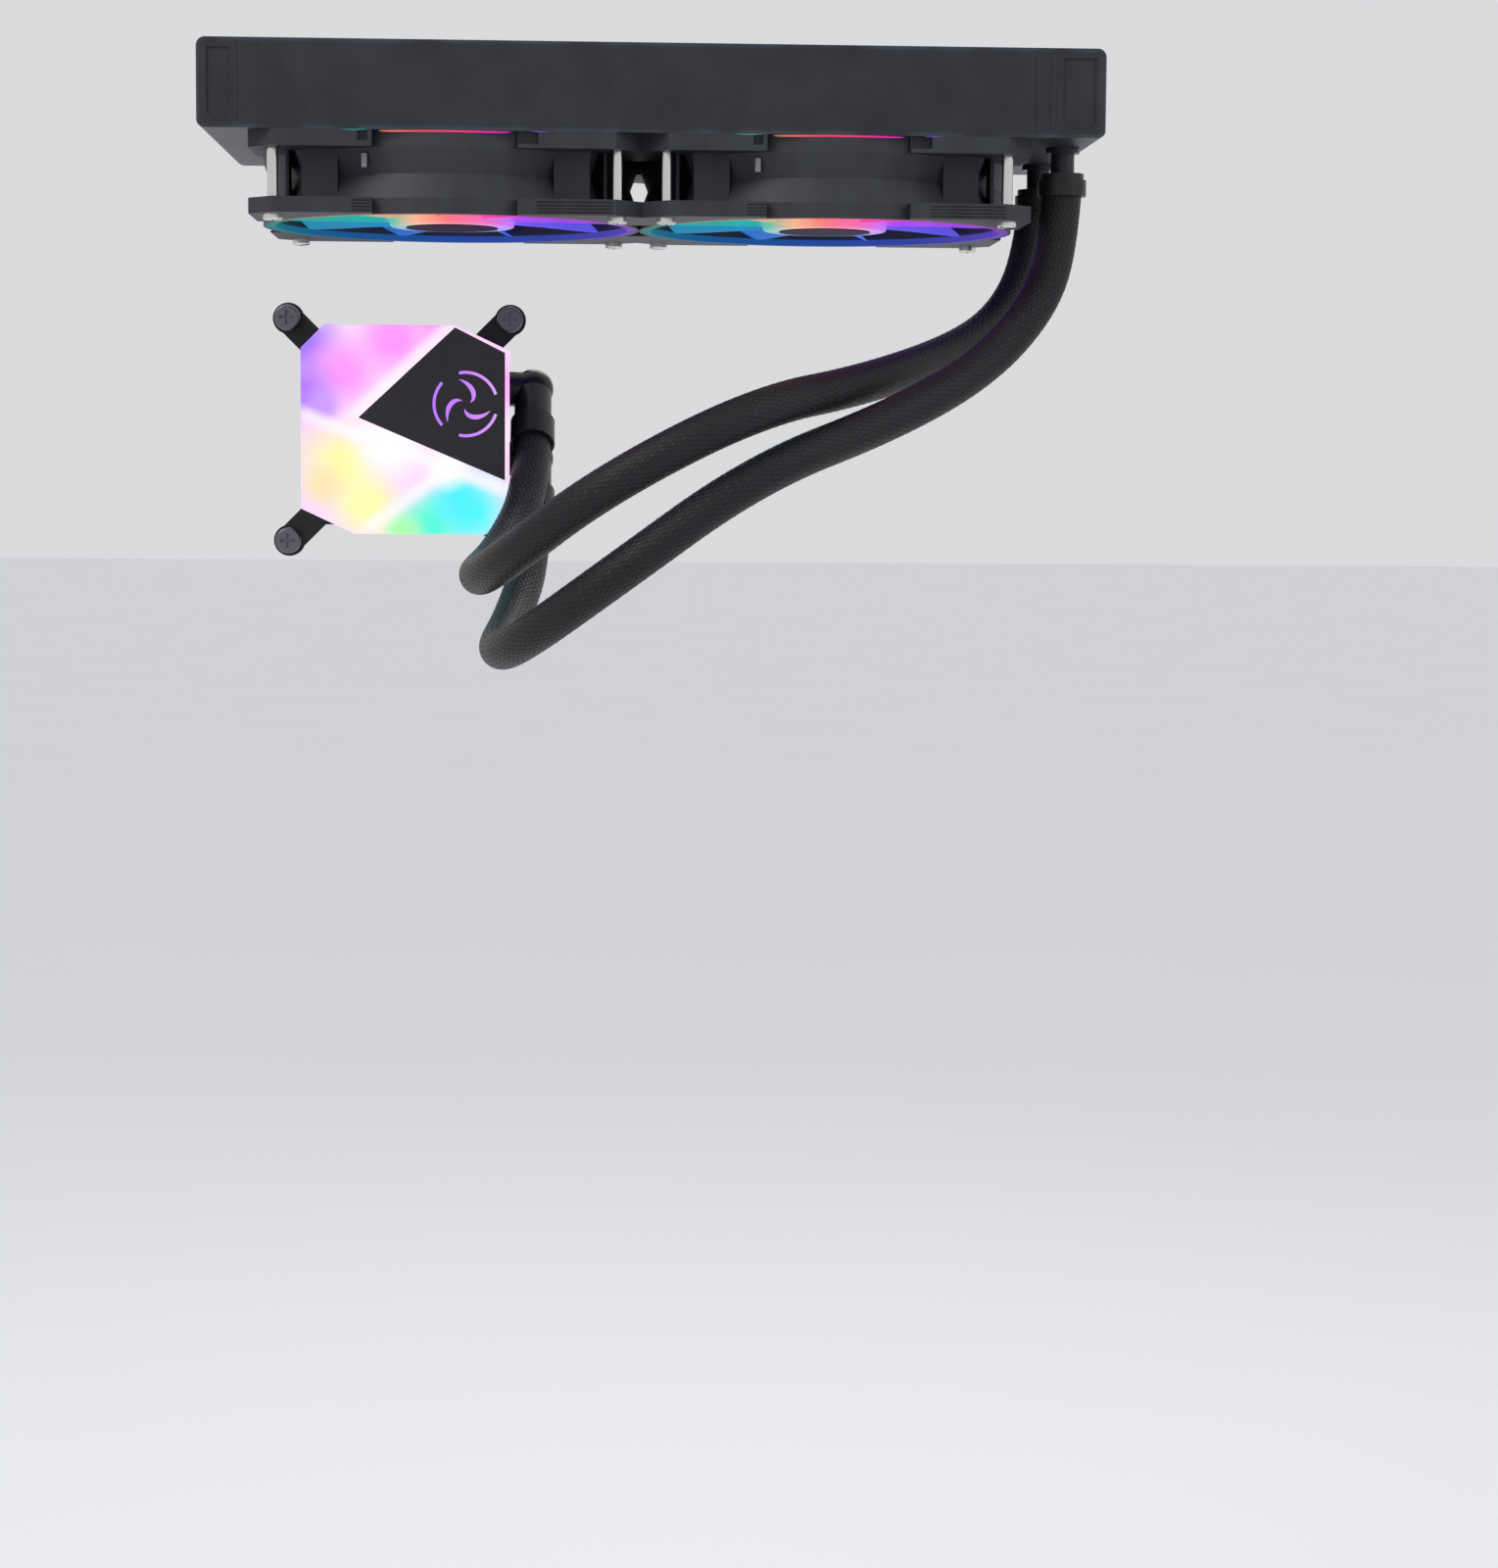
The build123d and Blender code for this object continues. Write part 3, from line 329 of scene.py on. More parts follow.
@dataclass(frozen=True)
class MouldedPlastic(Finish):
    """Injection-moulded plastic with a spark-eroded texture and faint flow marks."""

    colour: Colour
    grain: float = 0.28
    depth: float = 0.018
    roughness: float = 0.5
    gloss: float = 0.35
    flow: Point = (1.0, 1.0, 5.0)

    def paint(self, recipe: Recipe) -> None:
        """Draws the finish into the recipe."""
        texture = recipe.grain(self.grain, 2.0)
        flow = recipe.grain(9.0, 3.0, self.flow)
        dust = recipe.grain(1.1, 5.0).smooth(0.66, 0.8)
        body = recipe.mix(flow.smooth(0.32, 0.68), shade(self.colour, 0.85), shade(self.colour, 1.18))
        colour = recipe.mix(dust * 0.1, body, shade(self.colour, 3.0))
        rough = self.roughness + (texture - 0.5) * 0.14 + (flow - 0.5) * 0.1
        normal = recipe.bump(texture, self.depth)
        recipe.dress(Base_Color=colour, Roughness=rough, Normal=normal, Specular_IOR_Level=self.gloss)


@dataclass(frozen=True)
class WorkedMetal(Finish):
    """Bare or plated metal with fine tool marks along one direction."""

    colour: Colour
    roughness: float = 0.26
    stretch: Point = (12.0, 1.0, 1.0)
    tarnish: Colour = (0.35, 0.33, 0.31)

    def paint(self, recipe: Recipe) -> None:
        """Draws the finish into the recipe."""
        marks = recipe.grain(0.18, 3.0, self.stretch)
        stain = recipe.grain(5.0, 4.0).smooth(0.55, 0.75)
        colour = recipe.mix(stain * 0.25, self.colour, self.tarnish)
        streaked = recipe.mix(marks * 0.18, colour, shade(self.colour, 0.6))
        rough = self.roughness + (marks - 0.5) * 0.22 + stain * 0.1
        recipe.dress(Base_Color=streaked, Metallic=1.0, Roughness=rough, Normal=recipe.bump(marks, 0.004))


@dataclass(frozen=True)
class Rubber(Finish):
    """Matte moulded rubber with a bloom."""

    colour: Colour

    def paint(self, recipe: Recipe) -> None:
        """Draws the finish into the recipe."""
        bloom = recipe.grain(3.0, 5.0).smooth(0.45, 0.75)
        fine = recipe.grain(0.25, 2.0)
        colour = recipe.mix(bloom * 0.3, self.colour, shade(self.colour, 2.2))
        rough = 0.62 + (fine - 0.5) * 0.2
        recipe.dress(Base_Color=colour, Roughness=rough, Normal=recipe.bump(fine, 0.012))


@dataclass(frozen=True)
class CircuitBoard(Finish):
    """Dark solder mask with traces and bare pads showing through."""

    mask: Colour = (0.008, 0.03, 0.02)
    copper: Colour = (0.7, 0.42, 0.2)

    def paint(self, recipe: Recipe) -> None:
        """Draws the finish into the recipe."""
        x, y, z = recipe.place()
        lanes = ((x * 0.9).math("SINE") * (z * 0.9 + y * 0.9).math("SINE")).smooth(0.72, 0.8)
        cloud = recipe.grain(3.0, 3.0)
        base = recipe.mix(cloud, self.mask, shade(self.mask, 1.7))
        colour = recipe.mix(lanes * 0.75, base, self.copper)
        recipe.dress(Base_Color=colour, Metallic=lanes * 0.8, Roughness=0.34 + (cloud - 0.5) * 0.2)


@dataclass(frozen=True)
class Windings(Finish):
    """Enamelled copper wire, wound close; each turn's crest is painted bright as a painted highlight and the
    grooves between turns painted dark as painted shade.
    """

    wire: float = 0.5

    def paint(self, recipe: Recipe) -> None:
        """Draws the finish into the recipe."""
        x, y, z = recipe.place()
        crest_relief_and_shading = abs(((x + y + z) * (math.pi / self.wire)).math("SINE"))
        cloud = recipe.grain(2.0, 3.0)
        # painted highlight on each turn's crest and painted shade in the grooves between turns; the same
        # relief also drives the bump
        colour = recipe.mix(crest_relief_and_shading, (0.16, 0.05, 0.015), (0.62, 0.25, 0.08))
        rough = 0.3 + cloud * 0.2
        recipe.dress(Base_Color=colour, Roughness=rough, Normal=recipe.bump(crest_relief_and_shading, 0.1), Metallic=0.4)


@dataclass(frozen=True)
class BraidedSleeve(Finish):
    """Close black nylon braid: each strand is a bundle of fine threads; its raised crests are painted
    lighter as a painted highlight and the hollows stay near black as painted shade.
    """

    colour: Colour = (0.003, 0.003, 0.004)
    # colour of the strands' crests, a painted highlight; a darker copy of it is also the worn colour
    crest_sheen_and_wear: Colour = (0.013, 0.013, 0.017)

    def paint(self, recipe: Recipe) -> None:
        """Draws the finish into the recipe."""
        ridge = recipe.attribute("ridge")
        lay = recipe.attribute("lay")
        threads = abs((lay * (math.pi * 5.0)).math("SINE"))
        wear = recipe.grain(9.0, 4.0).smooth(0.4, 0.7)
        # painted highlight on the raised strand crests, painted shade in the hollows between strands
        lit = ridge.smooth(0.25, 0.95) * (0.55 + threads * 0.45)
        colour = recipe.mix(lit, self.colour, self.crest_sheen_and_wear)
        aged = recipe.mix(wear * 0.35, colour, shade(self.crest_sheen_and_wear, 0.75))
        rough = 0.46 - lit * 0.16 + wear * 0.06
        normal = recipe.bump(threads * 0.4 + ridge * 0.6, 0.08)
        recipe.dress(Base_Color=aged, Roughness=rough, Normal=normal, Specular_IOR_Level=0.3)


HUE_WHEEL: list[tuple[float, Colour]] = [
    (0.00, (0.02, 0.13, 0.72)),
    (0.12, (0.00, 0.20, 0.60)),
    (0.22, (0.00, 0.34, 0.42)),
    (0.32, (0.00, 0.50, 0.33)),
    (0.41, (0.95, 0.42, 0.20)),
    (0.49, (0.95, 0.10, 0.12)),
    (0.57, (0.95, 0.06, 0.36)),
    (0.67, (0.52, 0.07, 0.90)),
    (0.78, (0.20, 0.10, 0.92)),
    (0.90, (0.06, 0.11, 0.82)),
    (1.00, (0.02, 0.13, 0.72)),
]


@dataclass(frozen=True)
class FrostedLight(Finish):
    """Frosted plastic lit from the hub, with the lamps' colours turning once round the axis."""

    centre_x: float
    power: float
    inner: float
    outer: float
    edge_level: float
    base: Colour = (0.02, 0.022, 0.032)

    def paint(self, recipe: Recipe) -> None:
        """Draws the finish into the recipe."""
        x, y, z = recipe.place()
        across = x - self.centre_x
        radius = (across * across + y * y).math("SQRT")
        turn = across.math("ARCTAN2", y * -1.0) / (2.0 * math.pi) + 0.5
        frost = recipe.grain(0.4, 2.0)
        haze = recipe.grain(7.0, 3.0)
        hue = recipe.ramp(turn, HUE_WHEEL)
        fall = radius.smooth(self.outer, self.inner) * (1.0 - self.edge_level) + self.edge_level
        level = fall * (0.85 + haze * 0.3)
        glow = recipe.mix(1.0, hue, recipe.mix(level, (0.0, 0.0, 0.0), (1.0, 1.0, 1.0)), "MULTIPLY")
        pale = recipe.mix(radius.smooth(22.5, 17.0) * 0.30, glow, (1.0, 0.80, 0.84))
        recipe.dress(
            Base_Color=recipe.mix(haze, self.base, shade(self.base, 1.3)),
            Emission_Color=pale,
            Emission_Strength=self.power,
            Roughness=0.5 + frost * 0.14,
            Normal=recipe.bump(frost, 0.01),
            Specular_IOR_Level=0.08,
        )


@dataclass(frozen=True)
class Glow:
    """One soft patch of colour on the lit face: its centre and reach in millimetres."""

    x: float
    z: float
    reach: float
    colour: Colour


@dataclass(frozen=True)
class LitFace(Finish):
    """The pump block's light spreader: soft patches of colour, edged by the facets' ridges."""

    ground: Colour
    glows: tuple[Glow, ...]
    ridges: tuple[tuple[Point, Point], ...]
    power: float = 1.0

    def paint(self, recipe: Recipe) -> None:
        """Draws the finish into the recipe."""
        x, _, z = recipe.place()
        glow: object = self.ground
        for patch in self.glows:
            away = ((x - patch.x) * (x - patch.x) + (z - patch.z) * (z - patch.z)).math("SQRT")
            glow = recipe.mix(away.smooth(patch.reach, patch.reach * 0.12), glow, patch.colour)
        for (x0, _, z0), (x1, _, z1) in self.ridges:
            length = math.hypot(x1 - x0, z1 - z0)
            along_x, along_z = (x1 - x0) / length, (z1 - z0) / length
            off = abs((x - x0) * along_z - (z - z0) * along_x)
            along = (x - x0) * along_x + (z - z0) * along_z
            within = along.smooth(-6.0, 3.0) * along.smooth(length + 6.0, length - 3.0)
            glow = recipe.mix(off.smooth(4.2, 0.1) * within * 0.7, glow, (1.0, 0.93, 0.97))
        milk = recipe.grain(5.0, 3.0)
        recipe.dress(
            Base_Color=recipe.mix(milk, (0.05, 0.05, 0.055), (0.07, 0.07, 0.075)),
            Emission_Color=recipe.mix(milk.smooth(0.3, 0.7) * 0.06, glow, (0.6, 0.6, 0.7)),
            Emission_Strength=self.power,
            Roughness=0.16 + milk * 0.08,
        )


@dataclass(frozen=True)
class PolishedPanel(Finish):
    """Dark smoked plastic with a high polish and the faintest wipe marks."""

    colour: Colour = (0.010, 0.009, 0.014)

    def paint(self, recipe: Recipe) -> None:
        """Draws the finish into the recipe."""
        wipe = recipe.grain(6.0, 5.0, (3.0, 1.0, 1.0))
        colour = recipe.mix(wipe, self.colour, shade(self.colour, 1.8))
        recipe.dress(Base_Color=colour, Roughness=0.16 + wipe * 0.16, Specular_IOR_Level=0.4)


@dataclass(frozen=True)
class LitInlay(Finish):
    """A thin lit inlay whose colour drifts from one end to the other along X."""

    low_x: float
    high_x: float
    stops: tuple[tuple[float, Colour], ...]
    power: float = 1.0

    def paint(self, recipe: Recipe) -> None:
        """Draws the finish into the recipe."""
        x, _, _ = recipe.place()
        share = (x - self.low_x) / (self.high_x - self.low_x)
        milk = recipe.grain(2.0, 3.0)
        hue = recipe.ramp(share, list(self.stops))
        recipe.dress(
            Base_Color=recipe.mix(milk, (0.02, 0.018, 0.03), (0.03, 0.028, 0.04)),
            Emission_Color=recipe.mix(milk * 0.3, hue, shade(self.stops[-1][1], 0.9)),
            Emission_Strength=self.power,
            Roughness=0.4 + milk * 0.1,
            Specular_IOR_Level=0.1,
        )


@dataclass(frozen=True)
class PlainGround(Finish):
    """The pale floor under the object."""

    colour: Colour = (0.90, 0.905, 0.92)

    def paint(self, recipe: Recipe) -> None:
        """Draws the finish into the recipe."""
        cloud = recipe.grain(400.0, 2.0)
        recipe.dress(Base_Color=recipe.mix(cloud, shade(self.colour, 0.98), self.colour), Roughness=0.85)


class Stock:
    """The finishes in use, each built once."""

    def __init__(self) -> None:
        """Starts with nothing built."""
        self.built: dict[str, bpy.types.Material] = {}

    def get(self, finish: Finish) -> bpy.types.Material:
        """The finish's material, built on first use."""
        if finish.name not in self.built:
            self.built[finish.name] = finish.build()
            log.info("finish %s", finish.name)
        return self.built[finish.name]


STOCK = Stock()


# ------------------------------------------------------------------ mesh helpers
def dress_node(node: str, finish: Finish) -> None:
    """Gives a CAD node a finish in all its material slots."""
    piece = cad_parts[node]
    for slot in piece.material_slots:
        slot.material = STOCK.get(finish)
    log.info("node %s wears %s", node, finish.name)


def new_piece(name: str, mesh: bpy.types.Mesh, finish: Finish) -> bpy.types.Object:
    """Links a mesh into the scene as a piece with its finish.

    Args:
        name: the piece's name.
        mesh: its mesh.
        finish: its finish.

    Returns:
        The new object.
    """
    mesh.materials.append(STOCK.get(finish))
    piece = bpy.data.objects.new(name, mesh)
    bpy.context.scene.collection.objects.link(piece)
    log.info("piece %s: %d faces", name, len(mesh.polygons))
    return piece


def mesh_from(
    name: str, points: list[Vector], faces: list[tuple[int, ...]], smooth: bool = False
) -> bpy.types.Mesh:
    """A mesh from points in metres, with outward normals.

    Args:
        name: the mesh's name.
        points: its points.
        faces: its faces, by point number.
        smooth: True to shade it smooth.

    Returns:
        The mesh.
    """
    mesh = bpy.data.meshes.new(name)
    mesh.from_pydata(points, [], faces)
    work = bmesh.new()
    work.from_mesh(mesh)
    bmesh.ops.recalc_face_normals(work, faces=work.faces)
    work.to_mesh(mesh)
    work.free()
    for polygon in mesh.polygons:
        polygon.use_smooth = smooth
    return mesh


def round_edges(piece: bpy.types.Object, width: float, segments: int = 2) -> None:
    """Rounds a piece's sharp edges by width millimetres."""
    bevel = piece.modifiers.new("rounding", "BEVEL")
    bevel.width = width * MM
    bevel.segments = segments
    bevel.limit_method = "ANGLE"
    bevel.angle_limit = math.radians(4.0)


def prism(name: str, outline: list[tuple[float, float]], y0: float, y1: float) -> bpy.types.Mesh:
    """A flat plate from an outline in X and Z, in millimetres, between two Y levels."""
    count = len(outline)
    front = [Vector((x, y0, z)) * MM for x, z in outline]
    back = [Vector((x, y1, z)) * MM for x, z in outline]
    sides = [(i, (i + 1) % count, count + (i + 1) % count, count + i) for i in range(count)]
    faces = [tuple(range(count)), tuple(range(count, 2 * count)), *sides]
    return mesh_from(name, front + back, faces)


# ------------------------------------------------------------------ studio
@dataclass
class Lamp:
    """One soft box: where it stands, what it faces, its size and power."""

    name: str
    stand: Point
    target: Point
    size: float
    power: float
    colour: Colour = (1.0, 1.0, 1.0)

    def build(self) -> None:
        """Adds the area light."""
        light = bpy.data.lights.new(self.name, "AREA")
        light.shape = "SQUARE"
        light.size = self.size
        light.energy = self.power
        light.color = self.colour
        stand = bpy.data.objects.new(self.name, light)
        bpy.context.scene.collection.objects.link(stand)
        stand.location = self.stand
        aim = Vector(self.target) - Vector(self.stand)
        stand.rotation_mode = "QUATERNION"
        stand.rotation_quaternion = aim.to_track_quat("-Z", "Y")
        log.info("lamp %s", self.name)


@dataclass
class Studio:
    """Camera, soft boxes, pale surroundings and floor."""

    eye: Point = (-0.0192, -1.0856, -0.1354)
    yaw: float = -2.955
    pitch: float = -5.014
    roll: float = -0.405
    lens: float = 76.5
    sensor: float = 36.0
    far_clip: float = 50.0
    floor_drop: float = 0.60
    floor_reach: float = 30.0
    sky: Colour = (0.97, 0.98, 1.0)
    sky_level: float = 0.72
    lamps: list[Lamp] = field(
        default_factory=lambda: [
            Lamp("key", (-1.0, -1.0, 1.1), (0.0, 0.0, -0.08), 0.7, 12.0, (1.0, 0.98, 0.96)),
            Lamp("fill", (1.3, -0.9, 0.7), (0.0, 0.0, -0.1), 0.9, 4.0, (0.93, 0.96, 1.0)),
            Lamp("back", (0.2, 1.4, 1.0), (0.0, 0.0, -0.08), 1.0, 6.0),
        ]
    )

    def build(self) -> None:
        """Sets up everything that isn't the object."""
        self.camera()
        self.surroundings()
        for lamp in self.lamps:
            lamp.build()
        self.floor()

    def camera(self) -> None:
        """Adds the camera."""
        data = bpy.data.cameras.new("camera")
        data.sensor_width = self.sensor
        data.lens = self.lens
        data.clip_end = self.far_clip
        camera = bpy.data.objects.new("camera", data)
        bpy.context.scene.collection.objects.link(camera)
        crest_relief_and_shading = [("Z", self.yaw), ("X", self.pitch), ("Y", self.roll), ("X", 90.0)]
        matrix = Matrix.Translation(self.eye)
        for axis, angle in crest_relief_and_shading:
            matrix = matrix @ Matrix.Rotation(math.radians(angle), 4, axis)
        camera.matrix_world = matrix
        bpy.context.scene.camera = camera

    def surroundings(self) -> None:
        """Lights the scene evenly from all round."""
        world = bpy.data.worlds.new("surroundings")
        world.use_nodes = True
        background = world.node_tree.nodes["Background"]
        background.inputs["Color"].default_value = (*self.sky, 1.0)
        background.inputs["Strength"].default_value = self.sky_level
        bpy.context.scene.world = world
        bpy.context.scene.view_settings.view_transform = "Standard"

    def floor(self) -> None:
        """Adds the pale floor well below the hanging object."""
        low = CAD_BOUNDS[0].z - self.floor_drop
        reach = self.floor_reach
        signs = ((-1, -1), (1, -1), (1, 1), (-1, 1))
        corners = [Vector((x * reach, y * reach, low)) for x, y in signs]
        mesh = mesh_from("floor", corners, [(0, 1, 2, 3)])
        mesh.materials.append(STOCK.get(PlainGround("pale_floor")))
        floor = bpy.data.objects.new("floor", mesh)
        bpy.context.scene.collection.objects.link(floor)


# ------------------------------------------------------------------ shared finishes
RADIATOR_PAINT = PowderCoat(
    "radiator_paint",
    (0.0165, 0.0185, 0.0250),
    faces=((0, -135.0), (0, 142.0), (1, -60.0), (1, 60.0), (2, 0.0), (2, -27.0)),
)
CORE_PAINT = PowderCoat("core_paint", (0.014, 0.014, 0.017), grain=0.2, roughness=0.5)
FITTING_PAINT = PowderCoat("fitting_paint", (0.016, 0.017, 0.021), grain=0.2, depth=0.006, roughness=0.3)
BRACKET_PAINT = PowderCoat("bracket_paint", (0.012, 0.012, 0.014), grain=0.3, roughness=0.4)
FAN_PLASTIC = MouldedPlastic("fan_plastic", (0.024, 0.0265, 0.034))
NOTCH_PLASTIC = MouldedPlastic("notch_plastic", (0.22, 0.22, 0.25))
BLOCK_PLASTIC = MouldedPlastic("block_plastic", (0.016, 0.016, 0.019), grain=0.35)
ELBOW_PLASTIC = MouldedPlastic(
    "elbow_plastic", (0.012, 0.012, 0.015), grain=0.15, depth=0.004, roughness=0.28
)
FERRULE_PLASTIC = MouldedPlastic(
    "ferrule_plastic", (0.010, 0.010, 0.012), grain=0.2, depth=0.006, roughness=0.34
)
INNER_PLASTIC = MouldedPlastic("inner_plastic", (0.11, 0.11, 0.12), roughness=0.45)
HUB_FILM = MouldedPlastic(
    "hub_film", (0.016, 0.007, 0.040), grain=0.5, depth=0.004, roughness=0.6, gloss=0.08
)
STEEL = WorkedMetal("ground_steel", (0.56, 0.56, 0.58))
ZINC = WorkedMetal("bright_zinc", (0.74, 0.73, 0.70), roughness=0.18, stretch=(1.0, 1.0, 0.2))
BLACK_NICKEL = WorkedMetal(
    "black_nickel", (0.16, 0.155, 0.18), roughness=0.36, tarnish=(0.09, 0.085, 0.10)
)
COPPER = WorkedMetal("lapped_copper", (0.80, 0.40, 0.25), roughness=0.2, tarnish=(0.35, 0.14, 0.08))
BRONZE = WorkedMetal("sintered_bronze", (0.6, 0.42, 0.2), roughness=0.45)
FERRITE = Rubber("bonded_ferrite", (0.03, 0.03, 0.032))
SEAL = Rubber("seal_rubber", (0.015, 0.015, 0.016))
BOARD = CircuitBoard("circuit_board")
WINDINGS = Windings("windings")
SLEEVE = BraidedSleeve("braided_sleeve")


# ------------------------------------------------------------------ radiator
@dataclass
class Radiator:
    """Tanks, headers, side channels, flat tubes and folded fins."""

    fold: float = 1.5
    fin_skin: float = 0.08
    fin_clearance: float = 0.05
    tube_count: int = 11
    tube_pitch: float = 8.6
    tube_thick: float = 2.0
    bead_width: float = 1.5
    bead_rise: float = 0.4
    bead_left_x: float = -123.0
    bead_right_x: float = 125.4
    bead_turns: int = 6
    bead_below_top: float = 2.0
    bead_above_bottom: float = 3.0
    crest_share: float = 0.16

    def build(self) -> None:
        """Dresses the CAD nodes and adds the fine pieces."""
        for node in ("tank_left", "tank_right", "side_plate_near", "side_plate_far"):
            dress_node(node, RADIATOR_PAINT)
        for node in ("header_left", "header_right", "flat_tubes"):
            dress_node(node, CORE_PAINT)
        for node in ("fill_plug", "port_near", "port_far"):
            dress_node(node, FITTING_PAINT)
        for node in ("port_ferrule_near", "port_ferrule_far"):
            dress_node(node, FERRULE_PLASTIC)
        self.fins()
        for name, x in (("left", self.bead_left_x), ("right", self.bead_right_x)):
            self.bead(name, x)

    def fins(self) -> None:
        """Folds a fine fin strip between each two tubes, with flat crests."""
        low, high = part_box("fin_strips")
        points: list[Vector] = []
        faces: list[tuple[int, ...]] = []
        folds = int((high.x - low.x) / (self.fold * MM))
        half = (self.tube_thick / 2 + self.fin_clearance) * MM
        rows = [(row - (self.tube_count - 1) / 2) * self.tube_pitch * MM for row in range(self.tube_count)]
        for lower, upper in zip(rows, rows[1:]):
            profile = self.fold_profile(low.x, folds, lower + half, upper - half)
            start = len(points)
            for x, y in profile:
                points += [Vector((x, y, low.z)), Vector((x, y, high.z))]
            for index in range(len(profile) - 1):
                corner = start + 2 * index
                faces.append((corner, corner + 2, corner + 3, corner + 1))
        piece = new_piece("fine_fins", mesh_from("fine_fins", points, faces), CORE_PAINT)
        skin = piece.modifiers.new("skin", "SOLIDIFY")
        skin.thickness = self.fin_skin * MM
        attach(piece, ROOT)
        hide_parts("fin_strips")

    def fold_profile(self, start: float, folds: int, low: float, high: float) -> list[tuple[float, float]]:
        """The folded line of one strip, seen from above.

        Args:
            start: X of the first crest, in metres.
            folds: how many folds it has.
            low: Y of the lower crests.
            high: Y of the upper crests.

        Returns:
            Points along the line.
        """
        step = self.fold * MM
        shoulder = step * self.crest_share
        line = []
        for index in range(folds):
            x = start + index * step
            line += [(x + shoulder, low), (x + step / 2 - shoulder, high)]
            line += [(x + step / 2 + shoulder, high), (x + step - shoulder, low)]
        return line

    def bead(self, name: str, x: float) -> None:
        """Adds the raised bead round a tank, beside its pocket, on the near and far faces."""
        low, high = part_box(f"tank_{name}")
        rise, half = self.bead_rise * MM, self.bead_width / 2 * MM
        crest_relief_and_shading = self.bead_turns
        top, foot = high.z - self.bead_below_top * MM, low.z + self.bead_above_bottom * MM
        path = [Vector((0, low.y, top)), Vector((0, low.y, foot))]
        path += [Vector((0, high.y, foot)), Vector((0, high.y, top))]
        points: list[Vector] = []
        faces: list[tuple[int, ...]] = []
        for side, ends in ((-1, path[:2]), (1, path[2:])):
            start = len(points)
            for end in ends:
                for step in range(crest_relief_and_shading + 1):
                    angle = math.pi * step / crest_relief_and_shading
                    offset = Vector((half * math.cos(angle), side * rise * math.sin(angle), 0))
                    points.append(end + offset + Vector((x * MM, 0, 0)))
            ring = crest_relief_and_shading + 1
            for step in range(crest_relief_and_shading):
                faces.append((start + step, start + step + 1, start + ring + step + 1, start + ring + step))
            faces.append((start, start + crest_relief_and_shading, start + ring + crest_relief_and_shading, start + ring))
            faces.append(tuple(range(start, start + ring)))
            faces.append(tuple(range(start + ring, start + 2 * ring)))
        mesh = mesh_from(name, points, faces)
        piece = new_piece(f"tank_bead_{name}", mesh, RADIATOR_PAINT)
        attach(piece, ROOT)


# ------------------------------------------------------------------ fans
SEAM_STOPS: tuple[tuple[float, Colour], ...] = (
    (0.0, (0.95, 0.28, 0.02)),
    (0.35, (0.95, 0.06, 0.02)),
    (0.7, (0.95, 0.02, 0.16)),
    (1.0, (0.75, 0.02, 0.6)),
)


class Side(Enum):
    """A side of a fan, as quarter turns about its axis from the near side."""

    NEAR = 0
    RIGHT = 1
    FAR = 2
    LEFT = 3


